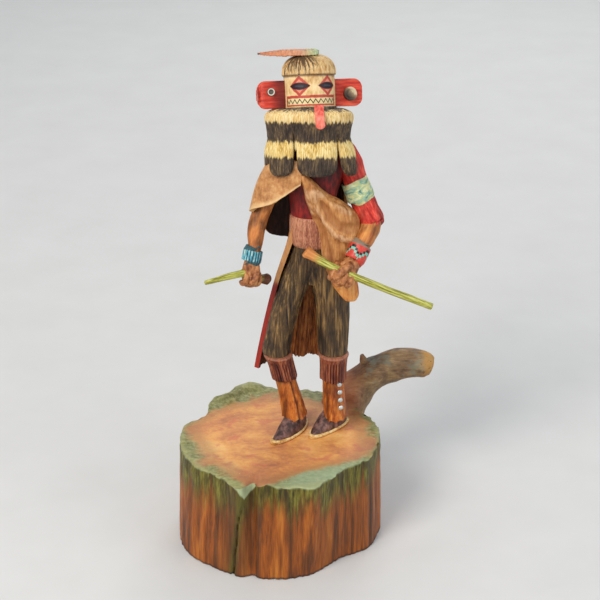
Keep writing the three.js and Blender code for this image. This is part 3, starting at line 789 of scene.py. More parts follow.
        colour = bench.coat(colour, (142, 150, 104), edge)
        foot_at, top_at = self.crack_bearings
        slope = (top_at - foot_at) / self.height
        off_crack = bench.minus(bench.minus(bearing, foot_at), bench.times(z, slope))
        flank = bench.within(off_crack, -9.0, 8.0, 6.0)
        colour = bench.coat(colour, bench.mix(fibre, (54, 34, 18), (96, 62, 28)), flank, 0.6)
        lane = bench.within(off_crack, -2.2, 2.0, 1.6)
        colour = bench.coat(colour, bench.mix(fibre, (50, 50, 16), (122, 120, 40)), lane, 0.7)
        beside = bench.maths("ABSOLUTE", bench.minus(off_crack, 1.0))
        reach = bench.plus(z, bench.times(drip, 8.0))
        reach = bench.minus(reach, bench.times(beside, 1.4))
        sag = bench.step(reach, self.height - 5.5, self.height - 3.6)
        colour = bench.coat(colour, bench.mix(fibre, (150, 162, 116), (196, 204, 160)), sag)
        # Painted shade: the grain's grooves and the crack are darkened by their carved depth.
        deep = bench.times(bench.maths("POWER", bench.kept("cut"), 1.3), 0.8)
        colour = bench.coat(colour, (50, 28, 14), deep)
        foot = bench.step(z, 2.4, 0.2)
        colour = bench.coat(colour, (44, 26, 16), foot, 0.8)
        return bench.done(colour, 0.5, bench.plus(bench.times(fibre, 0.7), streak), 0.5)

    def top_paint(self) -> Paint:
        """Orange-tan cut wood with pinkish patches, green towards its rim."""
        bench = PaintBench("stump_top")
        places = bench.coordinates()
        x, y, _ = bench.split(places)
        cloud = bench.speckle(places, 0.04, (1, 1.3, 1), 3, 0.55, 0.4)
        fine = bench.speckle(places, 0.4, (0.75, 1.1, 1), 5, 0.7)
        level = bench.weighted(cloud, 0.75, fine, 0.3)
        colour = bench.ramp(
            level,
            (0.34, (168, 106, 74)),
            (0.46, (202, 132, 80)),
            (0.56, (222, 156, 86)),
            (0.68, (234, 182, 110)),
        )
        pink = bench.step(bench.speckle(places, 0.08, (1, 1.2, 1), 3, 0.55, 0.4), 0.55, 0.66)
        colour = bench.coat(colour, (196, 100, 78), pink, 0.55)
        out = bench.distance(x, y)
        rim_place = bench.plus(out, bench.times(cloud, 26.0))
        front = bench.times(bench.step(y, -18.0, -46.0), bench.step(x, -14.0, 16.0))
        back = bench.step(y, 12.0, 44.0)
        rim_place = bench.plus(rim_place, bench.times(front, 9.0))
        rim_place = bench.plus(rim_place, bench.times(back, 7.0))
        brown = bench.step(rim_place, 55.0, 64.0)
        colour = bench.coat(colour, (150, 106, 70), brown, 0.55)
        green = bench.step(rim_place, 64.5, 72.0)
        mossy = bench.ramp(fine, (0.36, (98, 94, 48)), (0.5, (130, 130, 80)), (0.64, (160, 156, 108)))
        turquoise = bench.mix(fine, (128, 148, 112), (178, 190, 152))
        colour = bench.coat(colour, bench.mix(bench.times(front, 0.8), mossy, turquoise), green)
        pale = bench.step(out, self.top_radius - 3.4, self.top_radius - 0.4)
        colour = bench.coat(colour, (168, 166, 112), pale, 0.45)
        dots = bench.step(bench.speckle(places, 0.9, (1, 1, 1), 2, 0.5), 0.72, 0.76)
        colour = bench.coat(colour, (240, 206, 150), dots, 0.7)
        return bench.done(colour, 0.5, fine, 0.5)

    def branch_paint(self) -> Paint:
        """Weathered grey-brown wood with grey-green patches, orange where it leaves the trunk."""
        bench = PaintBench("branch_wood")
        places = bench.coordinates()
        x, _, z = bench.split(places)
        fibre = bench.speckle(places, 0.8, (0.16, 1, 0.5), 5, 0.65)
        cloud = bench.speckle(places, 0.075, (1, 1, 1), 4, 0.6, 0.5)
        colour = bench.ramp(
            bench.weighted(fibre, 0.45, cloud, 0.55), (0.36, (80, 60, 44)), (0.45, (132, 102, 72)),
            (0.54, (164, 132, 90)), (0.65, (196, 168, 124)),
        )
        grey = bench.step(bench.speckle(places, 0.13, (0.6, 1, 1), 4, 0.6, 0.3), 0.52, 0.62)
        above = bench.times(grey, bench.step(z, 66.0, 84.0))
        colour = bench.coat(colour, (136, 138, 118), above, 0.75)
        base = bench.step(x, 56.0, 40.0)
        colour = bench.coat(colour, (186, 104, 62), base, 0.6)
        end = bench.step(bench.plus(x, bench.times(cloud, 8.0)), 88.0, 93.0)
        colour = bench.coat(colour, (196, 142, 66), end, 0.75)
        holes = bench.times(end, bench.step(bench.speckle(places, 0.42, (1, 1, 1), 2, 0.5), 0.6, 0.66))
        colour = bench.coat(colour, (34, 20, 12), holes)
        # Painted shade: the hollows between knobs and fibres, and the crack, are darkened.
        colour = bench.coat(colour, (52, 34, 22), bench.kept("cut"), 0.45)
        return bench.done(colour, 0.55, fibre, 0.5)

    def build(self) -> None:
        """Makes and dresses the stump."""
        wood = self.branch_paint()
        finish_piece(self.trunk(), [self.side_paint(), self.top_paint()], Slot.STUMP, "stump", 70)
        finish_piece(self.branch(), [wood], Slot.STUMP, "stump", 60)
        finish_piece(self.twig(), [wood], Slot.STUMP, "stump", 60)


# ---------------------------------------------------------------- feet and legs


@dataclass
class Footwear:
    """Two moccasins, two tall boots with fringed cuffs, and the row of silver tacks."""

    sole_z: float
    half_width: float = 6.4
    sole: float = 1.7
    instep: float = 13.0
    heels: tuple[tuple[float, float], ...] = ((14.6, 18), (40, 18.4))
    toes: tuple[tuple[float, float], ...] = ((-5, -13.4), (17.4, -6.4))
    boots: tuple[tuple[Row, ...], ...] = (
        (
            (8.4, 6.6, 73.6, 7.6, 8.6), (7.6, 6.8, 77.4, 7.2, 7.9), (6.2, 7, 84, 6.6, 7),
            (2.6, 8, 98, 6, 6.4), (0.5, 8, 106, 5.8, 6),
        ),
        (
            (33, 6.6, 73, 6.9, 8.6), (32.6, 6.8, 76.6, 6.8, 8), (32, 7.2, 84, 6.6, 7.2),
            (31.3, 8, 98, 6.6, 6.8), (31.3, 8, 106, 6.2, 6.4),
        ),
    )
    cuffs: tuple[tuple[Row, ...], ...] = (
        (
            (2.6, 7.4, 98.2, 7.0, 7.4), (2.4, 7.4, 98.8, 7.7, 8.2), (1, 7.2, 105, 7.7, 8.1),
            (-0.6, 7, 111, 8, 8.4), (-1, 7, 112.2, 8.5, 8.9), (-1.1, 7, 113.2, 8.3, 8.7),
            (-1.2, 7, 113.6, 7.2, 7.6),
        ),
        (
            (31.3, 7.6, 97, 7.2, 7.6), (31.3, 7.6, 97.6, 8, 8.4), (31.3, 7.6, 105, 8, 8.4),
            (31.4, 7.6, 111, 8.4, 8.8), (31.4, 7.6, 112.4, 9, 9.4), (31.4, 7.6, 113.4, 8.8, 9.2),
            (31.4, 7.6, 113.8, 7.6, 8),
        ),
    )
    sides: tuple[str, str] = ("right", "left")
    # Where each boot's seam runs, as a share of a turn; its depth in mm, and its width as a share of a turn.
    seams: tuple[float, float] = (0.82, 0.62)
    seam_depth: float = 0.7
    seam_width: float = 0.011
    scallops: int = 9
    fringe_strands: int = 28
    fringe_raggedness: float = 0.8
    toe_lift: float = 1.5
    toe_height: float = 3.2
    tack_flatness: float = 0.62
    tack_sunk: float = 0.45

    def _outline(self, form: Form, which: int, spread: Array) -> tuple[Array, Array, Array]:
        """Each vertex's place along the foot, its plan x and its plan y, for a plan shrunk by spread."""
        heel, toe = np.array(self.heels[which]), np.array(self.toes[which])
        axis = toe - heel
        side = np.array([axis[1], -axis[0]]) / np.linalg.norm(axis)
        turn = form.around * 2 * math.pi
        t = np.clip(0.5 + 0.49 * spread * np.cos(turn), 0.004, 0.996)
        full = np.clip(0.5 + 0.49 * np.cos(turn), 0.004, 0.996)
        width = (
            self.half_width * np.sqrt(np.maximum(0, np.sin(math.pi * full**0.8))) * np.sign(np.sin(turn))
            * spread
        )
        bow = 1.2 * np.sin(math.pi * t)
        plan = heel + np.outer(t, axis) + np.outer(width + bow * (1 if which else -1), side)
        return t, plan[:, 0], plan[:, 1]

    def shoe(self, which: int) -> tuple[Piece, Piece]:
        """A sole plate and the soft upper that stands on it."""
        name = self.sides[which]
        base = self.sole_z
        plate_rows = [
            (0, 0, base + self.sole * z, w) for z, w in ((0, 0.95), (0.25, 1.0), (0.8, 1.0), (1, 0.96))
        ]
        plate = Form(f"moccasin_sole_{name}", plate_rows, 96, 2)
        spread = np.array([row[3] for row in plate.rows]).repeat(plate.sides)
        t, x, y = self._outline(plate, which, spread)
        places = places_of(plate.piece)
        lift = self.toe_lift * np.clip((t - 0.8) / 0.2, 0, 1) ** 2 * (places[:, 2] > base + 0.2)
        put_back(plate.piece, np.column_stack([x, y, places[:, 2] + lift]))
        face_out(plate.piece)
        steps = np.linspace(0, 1, 22)
        upper = Form(f"moccasin_upper_{name}", [(0, 0, base + s, 1.0) for s in steps], 96, 1)
        share = np.array([math.cos(s * math.pi / 2) ** 0.7 if s < 1 else 0.01 for s in steps]).repeat(96)
        t, x, y = self._outline(upper, which, share * 0.9)
        rise = 1 - np.clip((t - 0.3) / 0.7, 0, 1)
        top = self.toe_height + (self.instep - self.toe_height) * rise**2 * (3 - 2 * rise)
        level = np.repeat([math.sin(s * math.pi / 2) for s in steps], 96)
        z = base + self.sole * 0.7 + top * level
        put_back(upper.piece, np.column_stack([x, y, z]))
        face_out(upper.piece)
        upper.carve(lambda around, along, places: 0.22 * lumps(places, 3.0, seed=which + 1.0))
        return plate.piece, upper.piece

    def boot(self, which: int) -> Piece:
        """A tall boot with soft wrinkles, a seam down its front and a scalloped hem."""
        form = Form(f"boot_{self.sides[which]}", self.boots[which], 96, 8)
        seam_at = self.seams[which]

        def cut(around: Array, along: Array, places: Array) -> Array:
            """Soft wrinkles and scratches, with the seam cut in."""
            soft = 0.35 * lumps(places, 5.0, (1, 1, 2.2), which + 3.0)
            scratches = 0.14 * lumps(places, 1.3, (1, 1, 5), which + 6.0)
            seam = self.seam_depth * np.exp(-(((around - seam_at - 0.03 * along) / self.seam_width) ** 2))
            return soft + scratches - seam

        form.carve(cut)

        def scallop(places: Array) -> Array:
            """Waves and tips the hem up and down."""
            hem = np.clip(1 - form.along * 7, 0, 1) ** 2
            wave = (
                0.55 * np.sin(form.around * 2 * math.pi * self.scallops)
                + 0.9 * np.sin(form.around * 2 * math.pi + 0.6)
            )
            return places + np.column_stack([0 * wave, 0 * wave, wave * hem])

        form.shape(scallop)
        return form.piece

    def cuff(self, which: int) -> Piece:
        """A cuff of hanging fringe under a rolled rim."""
        form = Form(f"cuff_{self.sides[which]}", self.cuffs[which], 168, 5)
        places = places_of(form.piece)
        rim = form.rows[-1][2] - 3.0
        cuts, tones = strands(form.around, self.fringe_strands, which + 11, 1.6)
        below = np.clip((rim - places[:, 2]) / 2.0, 0, 1) * np.clip(form.along * 30, 0, 1)
        depth = cuts * below * 1.0
        places = places - normals_of(form.piece) * depth[:, None]
        rng = np.random.default_rng(which + 5)
        number = np.floor(form.around * self.fringe_strands).astype(int) % self.fringe_strands
        drop = rng.normal(0, self.fringe_raggedness, self.fringe_strands)[number]
        places[:, 2] += drop * np.clip(1 - form.along * 4, 0, 1)
        put_back(form.piece, places)
        keep_values(form.piece, "cut", cuts * below)
        keep_values(form.piece, "tone", tones)
        return form.piece

    def tack(self, node: str) -> Piece:
        """A domed tack with a turned-down edge, on its CAD place."""
        low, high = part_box(node)
        centre = (low + high) / 2
        axis = (centre - Vector((self.boots[1][2][0], self.boots[1][2][1], 0)) * MM) * Vector((1, 1, 0))
        clear_selection()
        radius = (high.z - low.z) / 2
        bpy.ops.mesh.primitive_uv_sphere_add(segments=24, ring_count=12, radius=radius, location=(0, 0, 0))
        piece = bpy.context.object
        piece.name = node.replace("button", "tack")
        bpy.ops.object.mode_set(mode="EDIT")
        bpy.ops.mesh.select_all(action="SELECT")
        bpy.ops.mesh.bisect(plane_co=(0, 0, 0), plane_no=(0, 0, 1), clear_inner=True, use_fill=True)
        bpy.ops.mesh.select_all(action="SELECT")
        bpy.ops.transform.resize(value=(1, 1, self.tack_flatness), center_override=(0, 0, 0))
        bpy.ops.object.mode_set(mode="OBJECT")
        piece.rotation_euler = axis.to_track_quat("Z", "Y").to_euler()
        piece.location = centre - axis.normalized() * self.tack_sunk * MM
        bpy.ops.object.transform_apply(location=True, rotation=True, scale=True)
        return piece

    def cuff_paint(self) -> Paint:
        """Dark red-brown fringe under a paler pinkish rim, with painted shade between the strands."""
        bench = PaintBench("cuff_fringe")
        places = bench.coordinates()
        _, _, z = bench.split(places)
        grain = bench.speckle(places, 1.2, (1, 1, 0.12), 4, 0.6)
        level = bench.plus(grain, bench.centred(bench.kept("tone"), 0.3))
        colour = bench.ramp(level, (0.3, (70, 28, 26)), (0.5, (126, 60, 40)), (0.68, (168, 98, 64)))
        rim = bench.step(z, self.cuffs[0][-1][2] - 1.8, self.cuffs[0][-1][2] - 0.5)
        colour = bench.coat(colour, bench.mix(grain, (130, 70, 50), (204, 146, 116)), rim, 0.5)
        # Painted shade: the cuts between the fringe strands are darkened almost to black.
        colour = bench.coat(colour, (36, 12, 12), bench.kept("cut"), 0.85)
        return bench.done(colour, 0.5, grain, 0.3)

    def build(self) -> None:
        """Makes and dresses both feet."""
        upper_paint = StreakedPaint(
            "moccasin_leather", (78, 54, 50), (128, 94, 86), (162, 128, 114), grain=0.5, draw=0.6,
            patch=0.2, rough=0.5,
        ).make()
        sole_paint = StreakedPaint(
            "moccasin_sole_edge", (176, 130, 70), (226, 192, 134), (244, 222, 176), grain=0.5, draw=1.0,
            rough=0.5,
        ).make()
        boot_paint = StreakedPaint(
            "boot_leather", (118, 56, 22), (192, 112, 42), (222, 158, 76), grain=0.55, draw=0.22,
            patch=0.12, contrast=0.85, rough=0.45,
        ).make()
        fringe = self.cuff_paint()
        silver = PaintBench("tack_silver")
        dull = silver.speckle(silver.coordinates(), 1.4, (1, 1, 1), 2)
        silver.shader.inputs["Metallic"].default_value = 0.55
        tack_paint = silver.done(silver.mix(dull, (150, 158, 158), (232, 236, 232)), 0.32, dull, 0.1)
        for which in (0, 1):
            plate, upper = self.shoe(which)
            finish_piece(plate, [sole_paint], Slot.CARVED, "figure")
            finish_piece(upper, [upper_paint], Slot.CARVED, "figure", 75)
            finish_piece(self.boot(which), [boot_paint], Slot.CARVED, "figure", 60)
            finish_piece(self.cuff(which), [fringe], Slot.CARVED, "figure", 70)
        for k in range(1, 5):
            finish_piece(self.tack(f"boot_button_{k}"), [tack_paint], Slot.TACK, f"boot_button_{k}")


@dataclass
class Clothing:
    """The trousers, the red shirt and the sash."""

    legs: tuple[tuple[Row, ...], ...] = (
        (
            (-1.2, 8, 111.4, 6.0, 6.4), (-1.6, 8, 112.6, 7.6, 7.8), (-1.9, 8.8, 116.5, 8.2, 8.4),
            (0.8, 10, 130.5, 8.1, 8.7), (4.8, 11.6, 146, 8.3, 9.4), (9.8, 12.2, 159, 9.2, 10),
            (14, 12, 171, 9.6, 9.8), (17, 11, 182, 9, 9),
        ),
        (
            (31.2, 8, 111.6, 6.2, 6.6), (31.2, 8.2, 112.8, 7.8, 7.8), (31, 9.6, 117, 8.8, 8.6),
            (30.9, 11, 130.5, 9.7, 9), (30.6, 12, 143, 10.4, 9.8), (28.5, 12.2, 157, 11.2, 10),
            (25, 12, 170, 10.4, 9.8), (21, 11, 182, 9, 9),
        ),
    )
    hips: tuple[Row, ...] = (
        (19.4, 12, 158, 6, 6.5), (19.6, 11.8, 164, 10, 7.6), (19.4, 11.4, 172, 11.6, 8.6),
        (19.2, 10.6, 182, 11.8, 9.4), (18.8, 10, 188, 10.6, 8.8),
    )
    shirt: tuple[Row, ...] = (
        (18.6, 9.5, 192, 11, 8.8), (18.6, 9.4, 201, 12, 9.2), (19, 10, 213, 13.8, 9.6),
        (19.6, 11.4, 225, 17, 10), (19.4, 12.8, 235, 21.5, 9.6), (18, 13, 241, 17, 9),
        (17, 12.6, 248, 9, 8), (17, 12.4, 258, 8, 8),
    )
    sash: tuple[Row, ...] = (
        (19.1, 10.3, 182.6, 11.8, 9.6), (19, 10.2, 184, 12.6, 10.4), (18.6, 9.6, 188, 12.8, 10.8),
        (18.6, 9.4, 196, 13, 10.8), (18.7, 9.4, 200, 12.9, 10.5), (18.7, 9.4, 201.4, 12.2, 9.8),
    )

    def leg(self, name: str, rows: Sequence[Row], seed: int) -> Piece:
        """One trouser leg, gouged lengthwise and puffed out over its cuff."""
        form = Form(name, rows, 132, 7)

        def cut(around: Array, along: Array, places: Array) -> Array:
            """Soft folds with long gouges across them."""
            folds = 0.55 * lumps(places, 4.2, (1, 1, 3.4), seed + 1.0)
            gouges = np.abs(lumps(places, 2.0, (1, 1, 6.0), seed + 5.0))
            fine = 0.16 * lumps(places, 0.9, (1, 1, 5.0), seed + 8.0)
            return folds - 0.9 * np.clip(0.45 - gouges, 0, 1) + fine

        form.carve(cut)
        return form.piece

    def build(self) -> None:
        """Makes and dresses the clothing."""
        cloth = StreakedPaint(
            "trouser_paint", (32, 26, 24), (108, 84, 52), (190, 154, 96), grain=0.9, draw=0.07, patch=0.09,
            cut_shade_share=0.8, contrast=0.8, rough=0.55, relief=0.4,
        ).make()
        red = StreakedPaint(
            "shirt_paint", (84, 16, 14), (136, 28, 22), (172, 46, 36), grain=0.5, draw=0.3, cut_shade_share=0.6,
            rough=0.55,
        ).make()
        woven = StreakedPaint(
            "sash_paint", (116, 62, 48), (168, 110, 84), (204, 150, 118), grain=1.5, draw=0.3,
            cut_shade_share=0.7, rough=0.6, contrast=0.9,
        ).make()
        shapes = (
            ("trouser_right", self.legs[0], 1), ("trouser_left", self.legs[1], 2), ("hips", self.hips, 3)
        )
        for name, rows, seed in shapes:
            finish_piece(self.leg(name, rows, seed), [cloth], Slot.CARVED, "figure", 75)
        shirt = Form("shirt", self.shirt, 112, 5)
        shirt.carve(lambda around, along, places: 0.4 * lumps(places, 5.0, (1, 1, 2), 4.0))
        finish_piece(shirt.piece, [red], Slot.CARVED, "figure", 70)
        sash = Form("sash", self.sash, 180, 6)
        sash.carve_strands(78, 0.32, 21, 0.6)
        finish_piece(sash.piece, [woven], Slot.CARVED, "figure", 70)


# ---------------------------------------------------------------- arms and hands


@dataclass(frozen=True)
class Grip:
    """Fingers curled round a stalk: where they are, how they head, and their sizes in mm."""

    middle: Row
    heading: Row
    reach: float
    finger: float
    gap: float
    start: float
    end: float
    thumb: tuple[Row, ...]
    palm: tuple[Row, ...]


@dataclass
class Arms:
    """Two arms with their sleeve, bands, bracelets and closed hands."""

    sleeve: tuple[Row, ...] = (
        (36, 13, 240, 5.5), (39.5, 13, 231, 6.9), (43.2, 12.2, 219, 6.7), (48, 10.6, 206, 7.2),
        (51.4, 8.9, 198.2, 7.8), (52, 8.6, 196.8, 7.5), (51.6, 8.6, 197.6, 6.2),
    )
    armband: tuple[Row, ...] = (
        (41.9, 12.7, 220.6, 6.8), (42.2, 12.6, 220, 7.6), (43.6, 12.1, 216.6, 7.8), (46, 11.2, 210.6, 8.0),
        (46.3, 11.1, 209.8, 7.0),
    )
    forearm_left: tuple[Row, ...] = (
        (50.6, 10, 202, 5.2), (50.8, 8.6, 197.6, 6.2), (51, 6, 194.5, 6.3), (48.5, 0.5, 190, 5.5),
        (45.3, -4.2, 186, 4.6), (41.5, -9, 178.5, 4.4),
    )
    bracelet_left: tuple[Row, ...] = (
        (46.1, -3.6, 187.4, 4.9), (45.9, -3.8, 187.1, 6.1), (44.2, -5.9, 183.8, 6.1),
        (42.3, -8, 180.4, 5.9), (42.1, -8.2, 180.1, 4.8),
    )
    arm_right: tuple[Row, ...] = (
        (5, 12.4, 238, 4), (0.4, 11.4, 226, 4.5), (-5.2, 10, 213, 4.7), (-10.4, 7.6, 202, 5.1),
        (-13, 4.8, 193, 5.1), (-13.8, 0.4, 185, 4.0), (-16, -3.6, 176.5, 3.7),
    )
    bracelet_right: tuple[Row, ...] = (
        (-14.6, -0.9, 183.5, 4.4), (-14.7, -1.0, 183.2, 5.5), (-15.3, -2, 180.2, 5.6),
        (-15.9, -3, 177.4, 5.6), (-16, -3.1, 177.1, 4.5),
    )
    grip_left: Grip = Grip(
        middle=(35.2, -12.6, 173.4),
        heading=(0.897, -0.09, -0.434),
        reach=5.0,
        finger=2.15,
        gap=3.5,
        start=150,
        end=-95,
        thumb=(
            (40.5, -12.4, 179.4, 2.7), (37.6, -16.6, 179.2, 2.5), (33.6, -18.4, 176.6, 2.3),
            (31.0, -18.2, 173.4, 1.5),
        ),
        palm=(
            (42, -8.4, 180.6, 4.0), (40, -10.4, 178, 5.4), (36.6, -12.2, 174, 6.0), (33, -13, 170.6, 5.2),
            (30.6, -13.4, 168.6, 3.2),
        ),
    )
    grip_right: Grip = Grip(
        middle=(-16.7, -4.9, 167.6),
        heading=(0.836, 0.467, -0.288),
        reach=3.9,
        finger=1.75,
        gap=2.8,
        start=150,
        end=-110,
        thumb=(
            (-13.2, -4.4, 175, 2.1), (-12.8, -7.0, 171.4, 2.0), (-14.4, -9.6, 168.4, 1.7),
            (-16.4, -10.2, 166.6, 1.1),
        ),
        palm=(
            (-15.8, -3.2, 178, 3.6), (-16.4, -4.2, 174, 4.3), (-16.7, -4.8, 169.4, 4.7),
            (-16.6, -4.9, 165, 4.2), (-16.5, -4.8, 162.8, 2.6),
        ),
    )

    def hand(self, side: str, grip: Grip) -> list[Piece]:
        """A closed hand: a palm, a thumb and four fingers, all copied from the first."""
        palm = Form(f"palm_{side}", grip.palm, 48, 6, across=(1, 0, 0))
        palm.carve(lambda around, along, places: 0.16 * lumps(places, 2.6, seed=3.0))
        thumb = Form(f"thumb_{side}", grip.thumb, 28, 6, across=(0, 1, 0.3))
        thumb.carve(lambda around, along, places: 0.08 * lumps(places, 1.6, seed=5.0))
        heading = np.array(grip.heading)
        heading /= np.linalg.norm(heading)
        front = np.array([0.0, -1.0, 0.0]) + heading * heading[1]
        front /= np.linalg.norm(front)
        up = np.cross(front, heading)
        up *= np.sign(up[2])
        rows = []
        for turn in np.linspace(math.radians(grip.start), math.radians(grip.end), 9):
            spot = np.array(grip.middle) + grip.reach * (math.cos(turn) * front + math.sin(turn) * up)
            bend = 1 + 0.1 * math.cos(3 * turn)
            rows.append((*spot, grip.finger * bend * (0.72 if turn == math.radians(grip.end) else 1.0)))
        first = Form(f"finger_{side}_1", rows, 28, 4, across=tuple(heading))
        first.carve(lambda around, along, places: 0.06 * lumps(places, 1.5, seed=8.0))
        made = [palm.piece, thumb.piece]
        rest = places_of(first.piece)
        for k, share in enumerate((-1.5, -0.5, 0.5, 1.5)):
            finger = first.piece
            if k:
                take(first.piece)
                bpy.ops.object.duplicate()
                finger = bpy.context.object
                finger.name = f"finger_{side}_{k + 1}"
            grow = 1 - 0.07 * abs(share)
            middle = np.array(grip.middle)
            put_back(finger, middle + (rest - middle) * grow + heading * share * grip.gap)
            made.append(finger)
        return made

    def armband_paint(self) -> Paint:
        """Swirled turquoise, yellow-green and blue."""
        bench = PaintBench("armband_swirl")
        setting = Setting.along(self.armband[0], self.armband[-1])
        places = bench.coordinates(setting)
        swirl = bench.speckle(places, 0.12, (0.8, 0.8, 1.7), 3, 0.5, 1.8)
        fine = bench.speckle(places, 0.55, (1, 1, 2), 3, 0.6, 1.0)
        colour = bench.ramp(
            bench.weighted(swirl, 0.88, fine, 0.12), (0.34, (84, 116, 112)), (0.43, (146, 178, 150)),
            (0.5, (188, 190, 128)), (0.57, (216, 212, 164)), (0.64, (158, 190, 166)),
            (0.72, (96, 136, 158)),
        )
        return bench.done(colour, 0.45, fine, 0.2)

    def left_bracelet_paint(self) -> Paint:
        """Coral red with black steps, between turquoise and silvery edges."""
        bench = PaintBench("bracelet_coral")
        places = bench.coordinates(Setting.along(self.bracelet_left[1], self.bracelet_left[3]))
        x, y, z = bench.split(places)
        around = bench.times(bench.maths("ARCTAN2", y, x), 6.0)
        fine = bench.speckle(places, 0.9, (1, 1, 1), 3)
        red = bench.mix(fine, (176, 38, 32), (226, 84, 66))
        stair = bench.maths("SNAP", bench.maths("PINGPONG", around, 4.7), 1.5)
        steps = bench.within(bench.minus(z, stair), 1.4, 2.9, 0.25)
        colour = bench.mix(steps, red, (26, 24, 28))
        teal = bench.within(bench.minus(z, stair), 2.9, 4.4, 0.25)
        colour = bench.coat(colour, (120, 190, 168), teal)
        edge = bench.step(z, 0.9, 0.3)
        colour = bench.coat(colour, (138, 122, 104), edge)
        return bench.done(colour, 0.4, fine, 0.15)

    def right_bracelet_paint(self) -> Paint:
        """Turquoise and silver bars parted by black lines."""
        bench = PaintBench("bracelet_turquoise")
        places = bench.coordinates(Setting.along(self.bracelet_right[1], self.bracelet_right[3]))
        x, y, z = bench.split(places)
        turn = bench.times(bench.maths("ARCTAN2", y, x), 20 / (2 * math.pi))
        bar = bench.maths("PINGPONG", turn, 0.5)
        fine = bench.speckle(places, 0.5, (1, 1, 0.5), 3)
        colour = bench.ramp(fine, (0.36, (50, 110, 128)), (0.52, (106, 176, 190)), (0.66, (176, 206, 200)))
        colour = bench.coat(colour, (24, 26, 26), bench.step(bar, 0.17, 0.09))
        edge = bench.maths("MAXIMUM", bench.step(z, 0.4, 0.1), bench.step(z, 6.0, 6.5))
        colour = bench.coat(colour, (58, 92, 98), edge)
        return bench.done(colour, 0.4, bench.step(bar, 0.1, 0.2), 0.3)

    def build(self) -> None:
        """Makes and dresses both arms."""
        red = StreakedPaint(
            "sleeve_paint", (158, 34, 26), (220, 74, 56), (240, 118, 94),
            setting=Setting.along(self.sleeve[1], self.sleeve[4]), grain=0.6, draw=0.22, patch=0.12,
            rough=0.5,
        ).make()
        skins = {
            side: StreakedPaint(
                f"forearm_{side}", (138, 76, 34), (198, 130, 70), (226, 166, 98), contrast=0.62,
                setting=Setting.along(rows[-4], rows[-1]), grain=0.5, draw=0.16, patch=0.13, rough=0.5,
            ).make()
            for side, rows in (("left", self.forearm_left), ("right", self.arm_right))
        }
        fist = StreakedPaint(
            "fist_paint", (112, 62, 34), (190, 130, 82), (222, 172, 122), grain=0.34, draw=0.7, patch=0.2,
            contrast=0.8, cut_shade_share=0.4, rough=0.5,
        ).make()
        sleeve = Form("sleeve_left", self.sleeve, 84, 7, across=(0, 1, 0))
        sleeve.carve(
            lambda around, along, places: 0.55 * lumps(places, 5.0, (1, 1, 1.6), 2.0)
            + 0.12 * lumps(places, 1.3, seed=3.0)
        )
        finish_piece(sleeve.piece, [red], Slot.CARVED, "figure", 60)
        bands = (
            ("armband", self.armband, self.armband_paint()),
            ("bracelet_left", self.bracelet_left, self.left_bracelet_paint()),
            ("bracelet_right", self.bracelet_right, self.right_bracelet_paint()),
        )
        for name, rows, paint in bands:
            band = Form(name, rows, 80, 4, across=(0, 1, 0))
            if name == "bracelet_right":
                band.carve_strands(20, 0.3, 4, 0.0, 5.0)
            else:
                band.carve(lambda around, along, places: 0.14 * lumps(places, 2.5, seed=6.0))
            finish_piece(band.piece, [paint], Slot.CARVED, "figure", 50)
        for side, rows in (("left", self.forearm_left), ("right", self.arm_right)):
            arm = Form(f"forearm_{side}", rows, 64, 7, across=(0, 1, 0) if side == "left" else (1, 0, 0))
            arm.carve(
                lambda around, along, places: 0.3 * lumps(places, 4.5, (1, 1, 2), 1.0)
                + 0.08 * lumps(places, 1.2, seed=2.0)
            )
            finish_piece(arm.piece, [skins[side]], Slot.CARVED, "figure", 60)
        for side, grip in (("left", self.grip_left), ("right", self.grip_right)):
            for piece in self.hand(side, grip):
                finish_piece(piece, [fist], Slot.CARVED, "figure", 60)


# ---------------------------------------------------------------- mantle


